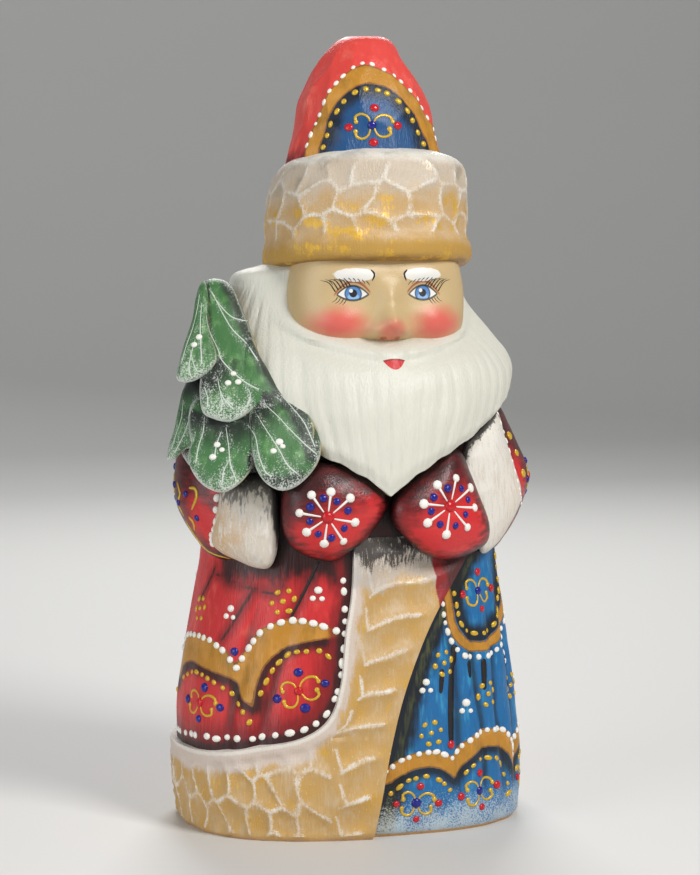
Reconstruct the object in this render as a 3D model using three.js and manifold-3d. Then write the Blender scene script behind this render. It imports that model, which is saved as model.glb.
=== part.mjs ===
// A carved and painted santa figure, cut from one block of limewood: a fur-banded hat, a face in a
// broad white beard, two mittens and fur cuffs, a little fir tree in the crook of the right arm, and a
// coat with a fur edge that opens over a second robe. The front looks along -Y and the flat base is at Z = 0.
import * as THREE from "three";
import { mergeVertices } from "three/addons/utils/BufferGeometryUtils.js";
import Module from "manifold-3d";

const wasm = await Module();
wasm.setup();

// Driving dimensions, in millimetres. A free form's own numbers below are in carver's units: a hundred
// and seventy of them make the figure's height, so on this figure one unit is one millimetre.
const HEIGHT = 170;
const UNITS_HIGH = 170;
const UNIT = HEIGHT / UNITS_HIGH;
const BASE_CHAMFER = 1.2;
const COAT_STEP = 1.0;
const FUR_STEP = 1.1;
const HEM_HEIGHT = 17.2;
const SIDE_EDGE_WIDTH = 8;
const SIDE_EDGE_FRONT = 5;
const SCOOP_DEPTH = 0.7;
const FLUTE_DEPTH = 0.55;
const FOLD_DEPTH = 0.9;
const HAT_TILT_DEG = 7;
const DEG = Math.PI / 180;

// The arms and the tree are drawn as they are seen from this many degrees to the left of the front.
const VIEW_TURN_DEG = 15;

// The head's place, and a face laid out in equal thirds: hairline to brow, brow to nose, nose to chin.
const HEAD = { x: 2, y: -5 };
const FACE = { chin: 93.5, third: 12.5, halfWidth: 19 };
const BROW_Z = FACE.chin + 2 * FACE.third;
const NOSE_BASE_Z = FACE.chin + FACE.third;
const EYE_Z = BROW_Z - FACE.third * 0.26;
const MOUTH_Z = NOSE_BASE_Z - FACE.third / 3;
const EYE_X = (2 * FACE.halfWidth) / 5;

// Rings of the turned forms, lowest first: [height, middle X, middle Y, half width, reach to the front,
// reach to the back, squareness].
const ROBE_RINGS = [
  [0, 0.2, 0, 36.8, 28.2, 25.0, 2.5],
  [8, 0.2, 0, 37.2, 28.6, 25.4, 2.5],
  [17, -0.1, 0, 37.4, 28.2, 25.2, 2.45],
  [25, -0.4, 0, 37.1, 27.7, 24.8, 2.4],
  [35, -0.4, 0, 35.9, 26.9, 24.3, 2.4],
  [46, -0.3, 0, 34.1, 26.0, 23.7, 2.35],
  [57, -0.2, 0, 32.2, 25.0, 23.0, 2.3],
  [75, 0, 0, 30.5, 24.5, 22.6, 2.3],
  [92, 0, 0, 30.0, 23.0, 21.4, 2.3],
  [106, 0, 0, 25.5, 19.0, 18.6, 2.2],
  [118, 0.5, -1, 17.0, 13.0, 14.0, 2.1],
];
const MANE_RINGS = [
  [71, 0, -2, 24.0, 32.0, 22.0, 2.1],
  [80, 0.2, -2, 27.4, 31.6, 24.0, 2.1],
  [86, 0.4, -2, 30.4, 30.9, 24.6, 2.1],
  [92, 0.5, -2, 33.6, 30.0, 25.2, 2.1],
  [98, 0.5, -2, 34.9, 28.2, 25.6, 2.1],
  [102, 0.2, -2, 34.0, 25.2, 25.6, 2.1],
  [105, -0.4, -2, 32.2, 21.0, 25.2, 2.1],
  [108.5, -1.1, -2, 30.0, 16.0, 24.6, 2.1],
  [113, -1.8, -2.6, 27.2, 12.5, 23.6, 2.15],
  [117, -2.2, -3.2, 25.0, 11.0, 22.6, 2.2],
  [119.4, -2.0, -3.6, 23.6, 10.5, 21.4, 2.2],
  [121.5, 0.4, -4.4, 19.4, 11.5, 18.6, 2.1],
  [128, 2.0, -5, 17.0, 12.0, 17.0, 2.1],
];
const HAT_RINGS = [
  [140, 2.0, -5, 17.4, 17.2, 17.6, 2.1],
  [148, 1.8, -5, 15.7, 15.5, 15.6, 2.1],
  [156.8, 1.4, -4.6, 13.8, 13.4, 13.4, 2.1],
  [161.1, 1.4, -4.4, 12.0, 11.6, 11.6, 2.05],
  [165.5, 1.3, -4.2, 9.4, 9.0, 9.0, 2.0],
  [167.7, 1.7, -4, 8.0, 7.4, 7.4, 2.0],
  [169.2, 1.9, -4, 6.2, 5.6, 5.6, 2.0],
  [170, 2.0, -4, 4.2, 4.0, 4.0, 2.0],
];
const BAND_RINGS = [
  [119.8, 2.4, -5, 17.0, 16.5, 17.0, 2.2],
  [120.3, 2.4, -5, 20.9, 20.8, 20.6, 2.25],
  [122.4, 2.5, -5, 22.3, 22.1, 22.2, 2.3],
  [127, 2.1, -5, 21.8, 21.8, 21.8, 2.3],
  [133, 2.2, -5, 21.7, 21.4, 21.6, 2.3],
  [139.4, 2.8, -5, 21.0, 20.7, 21.0, 2.25],
  [142.6, 3.0, -5, 19.0, 18.8, 19.2, 2.2],
  [144.2, 2.7, -5, 15.8, 15.8, 16.0, 2.1],
];

const clamp = (v, lo = 0, hi = 1) => Math.min(hi, Math.max(lo, v));
const mix = (a, b, t) => a + (b - a) * t;
const ease = (v) => clamp(v) ** 2 * (3 - 2 * clamp(v));
const bell = (d) => Math.exp(-d * d);
const signedPower = (v, n) => Math.sign(v) * Math.abs(v) ** (2 / n);
const rad = (deg) => deg * DEG;

// A row of a table at any height, smoothly between its rings.
function ringAt(rings, z) {
  let i = 0;
  while (i < rings.length - 2 && z > rings[i + 1][0]) i += 1;
  const [a, b] = [rings[i], rings[i + 1]];
  const before = rings[Math.max(0, i - 1)];
  const after = rings[Math.min(rings.length - 1, i + 2)];
  const span = b[0] - a[0];
  const t = clamp((z - a[0]) / span);
  const h = [2 * t ** 3 - 3 * t ** 2 + 1, t ** 3 - 2 * t ** 2 + t, 3 * t ** 2 - 2 * t ** 3, t ** 3 - t ** 2];
  return a.map((value, k) => {
    const slopeA = (b[k] - before[k]) / (b[0] - before[0]);
    const slopeB = (after[k] - a[k]) / (after[0] - a[0]);
    return h[0] * value + h[1] * span * slopeA + h[2] * b[k] + h[3] * span * slopeB;
  });
}

// A point of a ring. The turn is 0 at the front and a quarter at +X, and swell moves it outwards.
function onRing(ring, turn, swell = 0) {
  const [, cx, cy, half, front, back, square] = ring;
  const c = Math.cos(turn);
  const reach = c > 0 ? front : back;
  return [
    cx + (half + swell) * signedPower(Math.sin(turn), square),
    cy - (reach + swell) * signedPower(c, square),
  ];
}

// A closed solid from a three.js geometry: each vertex goes through place, and lands in millimetres.
function solid(geometry, place) {
  const g = geometry.clone();
  g.deleteAttribute("normal");
  g.deleteAttribute("uv");
  const p = g.attributes.position;
  for (let i = 0; i < p.count; i += 1) {
    const [x, y, z] = place(p.getX(i), p.getY(i), p.getZ(i));
    p.setXYZ(i, x * UNIT, y * UNIT, z * UNIT);
  }
  const merged = mergeVertices(g, 1e-3);
  return new wasm.Manifold(
    new wasm.Mesh({
      numProp: 3,
      vertProperties: new Float32Array(merged.attributes.position.array),
      triVerts: new Uint32Array(merged.index.array),
    }),
  );
}

// A standing form: a cylinder whose side follows skin(turn, share up, column, row), with flat ends.
function standing(around, up, skin) {
  const unit = new THREE.CylinderGeometry(1, 1, 1, around, up);
  return solid(unit, (x, y, z) => {
    const turn = Math.atan2(x, z);
    const share = y + 0.5;
    const column = Math.round((turn / (2 * Math.PI)) * around);
    const row = Math.round(share * up);
    if (Math.hypot(x, z) > 0.5) return skin(turn, share, column, row);
    const [ax, ay, az] = skin(0, share, 0, row);
    const [bx, by, bz] = skin(Math.PI, share, 0, row);
    return [(ax + bx) / 2, (ay + by) / 2, (az + bz) / 2];
  });
}

// A lump drawn by its outline of [across, height], seen from turn degrees to the left of the front. At
// the outline's middle it lies depth in front of the figure's axis, and leans in depth by lean across
// and up. It stands out by front and back from there.
function lump({ outline, depth, lean = [0, 0], front, back, n = 2.4, turn = VIEW_TURN_DEG, around, up, relief }) {
  const points = outline.map(([a, z]) => new THREE.Vector3(a, z, 0));
  if (THREE.ShapeUtils.area(points) > 0) points.reverse();
  const edge = new THREE.CatmullRomCurve3(points, true, "centripetal");
  const middle = [0, 1].map((k) => outline.reduce((sum, p) => sum + p[k], 0) / outline.length);
  const [c, s] = [Math.cos(rad(turn)), Math.sin(rad(turn))];
  return solid(new THREE.SphereGeometry(1, around, up), (x, y, z) => {
    const flat = Math.hypot(x, z);
    const at = edge.getPoint((Math.atan2(z, x) / (2 * Math.PI) + 1) % 1);
    const reach = flat < 1e-6 ? 0 : signedPower(Math.min(flat, 1), n);
    const a = mix(middle[0], at.x, reach);
    const h = mix(middle[1], at.y, reach);
    const out = signedPower(y, n) * (y > 0 ? front : back) + (y > 0 && relief ? relief(a, h) * ease(y * 3) : 0);
    const f = depth + lean[0] * (a - middle[0]) + lean[1] * (h - middle[1]) + out;
    return [a * c - f * s, -a * s - f * c, h];
  });
}

function box(low, high) {
  const g = new THREE.BoxGeometry(1, 1, 1);
  return solid(g, (x, y, z) => [x, -z, y].map((c, k) => mix(low[k], high[k], c + 0.5)));
}

// Robe, coat and fur edge share one set of rings, each a step further out.
const FOLD_TURNS = [0.42, 0.62, 0.84, 1.08, 1.32];
function folds(turn, z) {
  const low = ease((66 - z) / 30) * ease(z / 12);
  const blue = FOLD_TURNS.reduce((sum, at) => sum - bell((turn - at) / 0.06), 0);
  const red = -bell((turn + 0.42 + (58 - z) * 0.007) / 0.06) - bell((turn + 0.72 + (58 - z) * 0.006) / 0.07);
  const back = Math.abs(turn) > 1.7 ? 0.8 * Math.cos(turn * 9) - 0.4 : 0;
  return FOLD_DEPTH * low * (blue + red + back);
}

function robeLayer(step, top, around, up, swell) {
  return standing(around, up, (turn, share, column, row) => {
    const z = mix(0, top, share);
    const ring = ringAt(ROBE_RINGS, z);
    const chamfer = Math.max(0, BASE_CHAMFER / UNIT - z) * 0.8;
    const [x, y] = onRing(ring, turn, step / UNIT + swell(turn, z, column, row) - chamfer);
    return [x, y, z];
  });
}

// The coat opens along this line, seen from the front: up the fur's right edge, then under the mitten.
const OPENING_LINE = [
  [-3.2, -3], [-2.7, 1], [0, 15], [3.2, 27.7], [7.2, 38.5], [11.6, 47.2], [18, 56.5], [25, 66],
];
// The fur's other edge: along the hem from the side, round the corner and up the front.
const FUR_LINE = [
  [-60, HEM_HEIGHT], [-38, HEM_HEIGHT + 0.6], [-26, 20.2], [-17.5, 22.2], [-12.2, 26.0],
  [-9.6, 33], [-8.2, 44], [-6.6, 54], [-6.2, 70],
];

// A tall block with the given outline in the front view, from yNear to yFar.
function frontBlock(outline, yNear, yFar) {
  const shape = new THREE.Shape(outline.map(([x, z]) => new THREE.Vector2(x, z)));
  const g = new THREE.ExtrudeGeometry(shape, { depth: yFar - yNear, bevelEnabled: false });
  return solid(g, (x, y, z) => [x, yFar - z, y]);
}
const smoothLine = (points, n) =>
  new THREE.SplineCurve(points.map(([x, z]) => new THREE.Vector2(x, z))).getPoints(n).map((p) => [p.x, p.y]);

// Knife scoops on the fur: level ones up the front strip, and two staggered rows round the hem.
function furScoops(turn, z, column, row) {
  const strip = Math.abs(turn) < 0.9 && z > HEM_HEIGHT + 5;
  const hollow = strip ? row % 2 === 1 : row % 2 === 1 && (column + (row - 1) / 2) % 2 === 0;
  const bulge = 0.5 * ease(z / 9) * ease((HEM_HEIGHT + 2 - z) / 9);
  return bulge - (hollow ? SCOOP_DEPTH : 0);
}

function robes() {
  const reach = 60;
  const openBlock = frontBlock([...smoothLine(OPENING_LINE, 18), [reach, 66], [reach, -3]], -reach, SIDE_EDGE_FRONT);
  const furLine = smoothLine(FUR_LINE, 20);
  const furFront = frontBlock([...furLine, [26, 70], [reach, 66], [reach, -3], [-reach, -3]], -reach, 0);
  const hem = box([-reach, -0.5, -3], [reach, reach, HEM_HEIGHT]);
  const sideEdge = box([0, SIDE_EDGE_FRONT - 1, -3], [reach, SIDE_EDGE_FRONT + SIDE_EDGE_WIDTH, 62]);
  const robe = robeLayer(0, 72, 48, 8, folds);
  const coat = robeLayer(COAT_STEP, 118, 48, 13, folds).subtract(openBlock);
  const fur = robeLayer(COAT_STEP + FUR_STEP, 64, 56, 16, furScoops)
    .intersect(furFront.add(hem).add(sideEdge))
    .subtract(openBlock);
  return robe.add(coat).add(fur);
}

// Hair and beard are one mass, whose lower edge runs from the beard's point round to the nape.
const MANE_EDGE = [
  [0, 73.2], [0.06, 75.6], [0.14, 79.6], [0.24, 84.6], [0.34, 89.4], [0.42, 92.0],
  [0.5, 95.5], [0.62, 101.5], [0.8, 104.0], [1, 104.6],
];
function mane() {
  const top = 127;
  const tuck = 0.1;
  return standing(78, 11, (angle, share, column) => {
    const rise = clamp((share - tuck) / (1 - tuck));
    const turn = angle - (0.3 + 0.14 * rise) * Math.sin(angle);
    const edge = ringAt(MANE_EDGE, Math.abs(turn) / Math.PI)[1];
    const z = mix(edge, top, rise ** 1.2);
    const ring = ringAt(MANE_RINGS, z);
    const across = (onRing(ring, turn)[0] - HEAD.x) / FACE.halfWidth;
    const smile = MOUTH_Z + 0.4 + 4.5 * across ** 2;
    const front = Math.cos(turn) > 0;
    const lip = 0.9 * bell(across * 9) * bell((z - MOUTH_Z + 0.8) / 1.3);
    const moustache = front ? 0.8 * ease((z - smile + 0.5) / 1.2) * ease((1.2 - Math.abs(across)) * 4) : 0;
    const fluted = ease((smile - z) / 4 + 3 * clamp(Math.abs(across) - 0.95));
    const flute = column % 2 === 0 ? -FLUTE_DEPTH * (front ? fluted : 1) : 0;
    const inwards = share < tuck ? -5 * (1 - share / tuck) - 0.6 : -0.9 * ease(1 - rise * 9);
    const [x, y] = onRing(ring, turn, inwards + flute + lip + moustache);
    return [x, y, z];
  });
}

// The face's carving, in units forwards of an even mask, at x from the middle of the head and height z.
function faceRelief(x, z) {
  const s = Math.abs(x);
  const nose = 4.0 * bell(x / 3.1) * bell((z - NOSE_BASE_Z - 2.2) / 2.6);
  const bridge = 1.6 * bell(x / 2.4) * ease((z - NOSE_BASE_Z - 1) / 4) * ease((BROW_Z + 1 - z) / 5);
  const wings = 1.4 * bell((s - 3.4) / 1.6) * bell((z - NOSE_BASE_Z - 1.4) / 1.6);
  const cheeks = 1.7 * bell((s - EYE_X * 1.45) / 5) * bell((z - NOSE_BASE_Z - 2.8) / 3.8);
  const sockets = -1.1 * bell((s - EYE_X) / 4.2) * bell((z - EYE_Z - 0.6) / 2.8);
  const lids = 0.5 * bell((s - EYE_X) / 2.7) * bell((z - EYE_Z) / 1.7);
  const brows = 0.7 * bell((s - EYE_X) / 5) * bell((z - BROW_Z - 0.8) / 1.9);
  return nose + bridge + wings + cheeks + sockets + lids + brows;
}
const FACE_SIDE = [[0, 129], [10, 128.4], [16.5, 125], [19, 118.5], [19.6, 112], [18.8, 106.5], [15, 102.4], [8, 100.4]];
function face() {
  const right = FACE_SIDE.map(([x, z]) => [HEAD.x + x, z]);
  const left = FACE_SIDE.slice(1).reverse().map(([x, z]) => [HEAD.x - x, z]);
  return lump({
    outline: [...right, [HEAD.x, 99.8], ...left],
    turn: 0,
    depth: 11.5,
    lean: [0, 0.05],
    front: 13,
    back: 6,
    n: 2.5,
    around: 30,
    up: 16,
    relief: (a, h) => faceRelief(a - HEAD.x, h),
  });
}

function tilted(rings, around, up, swell) {
  const tilt = Math.tan(rad(HAT_TILT_DEG));
  const [low, high] = [rings[0][0], rings[rings.length - 1][0]];
  return standing(around, up, (turn, share, column, row) => {
    const z = mix(low, high, share);
    const [x, y] = onRing(ringAt(rings, z), turn, swell(turn, z, column, row));
    return [x, y, z - (y - HEAD.y) * tilt * clamp((172 - z) / 30)];
  });
}
function hat() {
  const facets = (turn, z, column) => (column % 3 === 0 ? 0 : -0.25 * ease((170 - z) / 8));
  const bandScoops = (turn, z, column, row) => {
    const hollow = row % 2 === 1 && (column + (row - 1) / 2) % 2 === 0;
    return hollow && row > 0 ? -SCOOP_DEPTH : 0;
  };
  return tilted(HAT_RINGS, 27, 8, facets).add(tilted(BAND_RINGS, 56, 9, bandScoops));
}

// Each arm is a sleeve, a fur cuff and a mitten.
const ARMS = [
  {
    outline: [
      [-24.2, 93.7], [-31.3, 92.4], [-35.4, 87.7], [-37.4, 81.2], [-38.1, 74.6], [-37.5, 69.6], [-36.0, 66.4],
      [-33.2, 62.4], [-30.0, 59.1], [-24.3, 58.1], [-19.1, 63.7], [-16.9, 74.6], [-19.0, 87.7],
    ],
    depth: 12, lean: [0.35, -0.2], front: 11, back: 17, n: 2.3, around: 18, up: 8,
  },
  {
    outline: [
      [-27.0, 74.9], [-23.2, 77.0], [-18.6, 77.0], [-15.6, 74.5], [-15.0, 69.8], [-15.0, 64.5], [-15.7, 60.0],
      [-17.1, 57.7], [-20.1, 57.7], [-23.7, 59.0], [-27.5, 60.7], [-29.2, 62.4], [-29.2, 65.6], [-28.1, 70.2],
    ],
    depth: 24, lean: [0.3, 0], front: 6.5, back: 9, n: 3.2, around: 16, up: 8,
  },
  {
    outline: [
      [-14.5, 72.4], [-13.8, 75.8], [-11.3, 78.7], [-6.7, 80.6], [-1.0, 79.8], [4.2, 77.2], [7.8, 74.3], [8.2, 71.1],
      [6.5, 67.7], [3.4, 63.9], [0.0, 61.2], [-3.8, 59.3], [-8.4, 60.1], [-12.2, 62.5], [-14.3, 66.0],
    ],
    depth: 27.5, lean: [-0.15, 0.05], front: 8, back: 9, n: 2.3, around: 18, up: 8,
  },
  {
    outline: [
      [26.5, 91.0], [32.5, 90.1], [35.2, 85.6], [37.4, 80.8], [39.0, 77.2], [39.5, 73.9], [38.8, 70.3],
      [37.1, 66.1], [34.2, 61.6], [31.1, 58.7], [26.2, 62.0], [22.6, 71.0], [23.0, 84.3],
    ],
    depth: -3, lean: [-0.5, -0.2], front: 13, back: 13, n: 2.3, around: 18, up: 8,
  },
  {
    outline: [
      [24.7, 82.7], [28.2, 86.6], [31.7, 89.5], [33.9, 83.2], [35.8, 77.7], [37.4, 72.7], [37.2, 69.0],
      [35.0, 64.8], [32.0, 60.9], [28.6, 59.0], [26.6, 63.7], [24.8, 71.8], [23.6, 77.5],
    ],
    depth: 8.5, lean: [-0.9, -0.1], front: 7.5, back: 9, n: 2.9, around: 15, up: 8,
  },
  {
    outline: [
      [8.5, 71.0], [11.0, 75.0], [15.9, 79.1], [21.2, 82.3], [23.5, 81.8], [25.7, 77.2], [28.0, 71.6], [30.0, 65.6],
      [29.5, 62.0], [26.8, 60.1], [23.0, 58.8], [18.7, 59.0], [14.9, 60.7], [11.0, 64.6], [8.7, 68.0],
    ],
    depth: 20.5, lean: [-0.5, 0], front: 8, back: 9, n: 2.3, around: 18, up: 8,
  },
];

// The fir tree: boughs like broad shingles round a trunk, each lower tier tucked under the one above.
const BOUGH = { front: 3.2, back: 7, n: 2.7, around: 14, up: 6 };
const TREE = [
  {
    outline: [
      [-29.4, 113.8], [-32.9, 107.4], [-34.6, 98.9], [-36.8, 90.3], [-37.2, 83.9], [-33.2, 77.4], [-25.7, 75.7],
      [-17.1, 75.7], [-9.4, 77.8], [-8.1, 83.9], [-11.1, 91.4], [-18.8, 98.4], [-21.8, 106.4], [-25.1, 113.8],
    ],
    depth: 13.5, lean: [0.1, -0.3], front: 10.5, back: 13, n: 2.3, around: 14, up: 7,
  },
  {
    outline: [
      [-32.0, 113.5], [-33.4, 108], [-34.2, 100], [-28, 95.5], [-20.5, 98.5], [-21.4, 105], [-23.6, 112], [-27.5, 115.8],
    ],
    depth: 14.6, lean: [0.3, -0.4], front: 9, back: 14, n: 2.4, around: 12, up: 6,
  },
  {
    outline: [
      [-31.0, 117.8], [-32.5, 115.9], [-33.1, 113.0], [-33.8, 108.8], [-34.9, 104.3], [-35.9, 100.5], [-36.6, 97.1],
      [-33.8, 96.5], [-31.1, 97.6], [-29.0, 99.7], [-27.3, 102.6], [-27.0, 106.7], [-27.6, 111.5], [-28.7, 115.7],
    ],
    ...BOUGH, depth: 21.5, lean: [0.5, -0.42],
  },
  {
    outline: [
      [-30.9, 117.5], [-28.1, 118.1], [-25.2, 118.1], [-23.1, 114.1], [-21.0, 108.2], [-19.4, 103.6], [-18.5, 99.8],
      [-19.0, 96.4], [-20.2, 95.4], [-22.6, 96.2], [-25.1, 98.5], [-27.2, 102.1], [-29.5, 106.5], [-30.7, 112.0],
    ],
    ...BOUGH, depth: 24, lean: [-0.1, -0.42],
  },
  {
    outline: [
      [-21.2, 106.5], [-18.7, 102.0], [-15.3, 97.6], [-12.1, 93.5], [-10.6, 90.1], [-12.8, 88.4], [-17.0, 89.5],
      [-20.8, 92.7], [-22.5, 99.1],
    ],
    ...BOUGH, depth: 27.5, lean: [-0.3, -0.4], around: 12,
  },
  {
    outline: [
      [-29.6, 101.4], [-30.7, 96.5], [-30.7, 92.6], [-29.5, 90.3], [-27.2, 89.2], [-24.3, 89.0], [-21.3, 90.3],
      [-19.2, 92.4], [-18.0, 95.5], [-18.4, 99.3], [-20.9, 102.8], [-25.9, 104.3],
    ],
    ...BOUGH, depth: 28, lean: [0.15, -0.5],
  },
  {
    outline: [
      [-32.7, 98.7], [-35.2, 95.3], [-36.5, 91.0], [-37.6, 87.0], [-38.5, 83.4], [-39.1, 79.9], [-36.6, 80.4],
      [-34.2, 82.5], [-32.5, 86.3], [-30.6, 91.0], [-30.3, 95.9],
    ],
    ...BOUGH, depth: 20.5, lean: [0.6, -0.35], around: 12,
  },
  {
    outline: [
      [-31.2, 93.6], [-32.7, 89.4], [-34.0, 84.4], [-33.8, 80.8], [-31.9, 77.6], [-29.2, 75.5], [-26.3, 74.7],
      [-23.4, 75.5], [-21.1, 77.4], [-19.6, 80.0], [-19.2, 84.1], [-20.4, 89.4], [-23.3, 93.1], [-27.5, 94.8],
    ],
    ...BOUGH, depth: 30.5, lean: [0.15, -0.45],
  },
  {
    outline: [
      [-20.8, 91.5], [-20.6, 86.2], [-19.8, 81.4], [-18.4, 77.9], [-16.1, 75.8], [-13.0, 74.9], [-10.0, 76.0],
      [-7.9, 78.1], [-6.5, 81.0], [-5.8, 84.4], [-6.7, 88.1], [-8.8, 91.9], [-12.5, 94.4], [-17.5, 94.4],
    ],
    ...BOUGH, depth: 32.5, lean: [-0.15, -0.45],
  },
];

const together = (drawn) => drawn.map(lump).reduce((sum, p) => sum.add(p));
const parts = [robes(), together(ARMS), mane(), face(), hat(), together(TREE)];
const joined = parts.reduce((sum, p) => sum.add(p));
// The underside is planed flat at the base.
const carved = joined.subtract(box([-80, -80, -40], [80, 80, 0]));

const mesh = carved.getMesh();
const geometry = new THREE.BufferGeometry()
  .setAttribute("position", new THREE.BufferAttribute(mesh.vertProperties, 3))
  .setIndex(new THREE.BufferAttribute(mesh.triVerts, 1));
geometry.computeVertexNormals();
const paintedWood = new THREE.MeshStandardMaterial({ color: 0xc8463f, roughness: 0.55, metalness: 0 });
const figure = new THREE.Mesh(geometry, paintedWood);
figure.name = "carved_figure";
const group = new THREE.Group();
group.add(figure);
export default group;
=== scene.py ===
"""The looks of the carved santa figure.

The figure's forms are carved again here at a fine pitch, with the gouge's scoops and flutes, and joined to
one body that stands for the CAD solid. Then it is painted: broad colours by finishes that read how far
each point lies from a painted line, and dots and strokes of thick paint that lie on the surface.
Lengths are in units, of which a hundred and seventy make the figure's height. The figure faces -Y.
"""
import logging
import math
from dataclasses import dataclass
from enum import Enum
from typing import Callable, Iterable, Sequence

import bmesh
import bpy
import numpy as np
from mathutils import Matrix, Vector
from mathutils.bvhtree import BVHTree


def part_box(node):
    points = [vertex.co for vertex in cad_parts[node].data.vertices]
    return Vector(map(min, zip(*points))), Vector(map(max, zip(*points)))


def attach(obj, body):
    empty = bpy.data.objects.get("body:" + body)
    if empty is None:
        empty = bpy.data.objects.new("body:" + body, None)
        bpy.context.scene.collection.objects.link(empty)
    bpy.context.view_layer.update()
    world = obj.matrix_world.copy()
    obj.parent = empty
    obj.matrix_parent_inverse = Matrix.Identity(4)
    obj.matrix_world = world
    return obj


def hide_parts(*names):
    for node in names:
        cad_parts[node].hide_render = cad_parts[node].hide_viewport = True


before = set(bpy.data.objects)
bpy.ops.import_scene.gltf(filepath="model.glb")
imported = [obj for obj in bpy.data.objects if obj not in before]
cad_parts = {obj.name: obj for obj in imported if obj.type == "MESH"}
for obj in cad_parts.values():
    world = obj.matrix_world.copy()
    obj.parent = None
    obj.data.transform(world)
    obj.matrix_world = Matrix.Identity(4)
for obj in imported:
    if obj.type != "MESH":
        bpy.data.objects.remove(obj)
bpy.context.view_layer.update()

log = logging.getLogger("carved_santa")

NODE = "carved_figure"
BODY = "root"

# The frame gives the size: one unit is a hundred and seventieth of the figure's height, in metres.
UNITS_HIGH = 170.0
LOW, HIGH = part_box(NODE)
UNIT = (HIGH[2] - LOW[2]) / UNITS_HIGH

# The arms, the tree and the ornaments on them are drawn as seen from here, left of the front.
VIEW_TURN = math.radians(15.0)
ACROSS = np.array([math.cos(VIEW_TURN), -math.sin(VIEW_TURN), 0.0])
TOWARDS = np.array([-math.sin(VIEW_TURN), -math.cos(VIEW_TURN), 0.0])

# The head's place, and a face in equal thirds: hairline to brow, brow to nose, nose to chin.
HEAD_X = 2.0
HEAD_Y = -5.0
CHIN_Z = 93.5
THIRD = 12.5
FACE_HALF_WIDTH = 19.0
BROW_Z = CHIN_Z + 2 * THIRD
NOSE_BASE_Z = CHIN_Z + THIRD
EYE_Z = BROW_Z - THIRD * 0.26
MOUTH_Z = NOSE_BASE_Z - THIRD / 3
EYE_X = 2 * FACE_HALF_WIDTH / 5

Points = np.ndarray
Rows = tuple[tuple[float, ...], ...]
Pair = tuple[float, float]
Path = tuple[Pair, ...]
Form = bpy.types.Object
Forms = list[Form]
Material = bpy.types.Material
# A form's points, for angles round it and shares of the way up.
Skinner = Callable[[Points, Points], Points]
# A lump's relief, for across, height and share of the way from the rim to the middle.
Relief = Callable[[Points, Points, Points], Points]


def ease(v: Points) -> Points:
    """A smooth step from 0 at 0 to 1 at 1."""
    v = np.clip(v, 0.0, 1.0)
    return v * v * (3 - 2 * v)


def bell(d: Points) -> Points:
    """A bell curve, 1 in the middle and nearly 0 beyond 2."""
    return np.exp(-np.square(d))


def mix(a: Points, b: Points, share: Points) -> Points:
    """From a to b by a share."""
    return a + (b - a) * share


def signed_power(v: Points, squareness: float | Points) -> Points:
    """The power that makes a round section squarer, with the sign kept."""
    return np.sign(v) * np.abs(v) ** (2 / squareness)


def unpower(v: Points, squareness: Points) -> Points:
    """Undoes signed_power."""
    return np.sign(v) * np.abs(v) ** (squareness / 2)


def table_at(rows: Rows, z: Points) -> Points:
    """A table's columns at heights between its rows.

    Args:
        rows: The table, whose first column rises.
        z: The heights.

    Returns:
        One row of numbers for each column of the table.
    """
    data = np.array(rows)
    z = np.atleast_1d(np.asarray(z, dtype=float))
    i = np.clip(np.searchsorted(data[1:-1, 0], z, side="left"), 0, len(data) - 2)
    a, b = data[i], data[i + 1]
    before, after = data[np.maximum(i - 1, 0)], data[np.minimum(i + 2, len(data) - 1)]
    span = (b[:, :1] - a[:, :1])
    t = np.clip((z[:, None] - a[:, :1]) / span, 0, 1)
    slope_a = (b - before) / (b[:, :1] - before[:, :1])
    slope_b = (after - a) / (after[:, :1] - a[:, :1])
    flat = (2 * t**3 - 3 * t**2 + 1) * a + (3 * t**2 - 2 * t**3) * b
    return (flat + span * ((t**3 - 2 * t**2 + t) * slope_a + (t**3 - t**2) * slope_b)).T


def unevenness(points: Points, size: float, seed: int) -> Points:
    """Smooth random waves in space, as a hand-held knife leaves on a surface.

    Args:
        points: Where to read them, as rows of x, y, z.
        size: The typical distance from one hollow to the next.
        seed: Picks the waves.

    Returns:
        A value of about -1 to 1 for each point.
    """
    rng = np.random.default_rng(seed)
    total = np.zeros(len(points))
    count = 9
    for _ in range(count):
        way = rng.normal(size=3)
        way *= 2 * math.pi / (size * rng.uniform(0.7, 1.5) * np.linalg.norm(way))
        total += np.sin(points @ way + rng.uniform(0, 2 * math.pi))
    return total / math.sqrt(count)


def lengths_along(path: Points) -> Points:
    """The length along a path from its start to each of its points."""
    return np.concatenate([[0.0], np.cumsum(np.linalg.norm(np.diff(path, axis=0), axis=1))])


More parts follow.
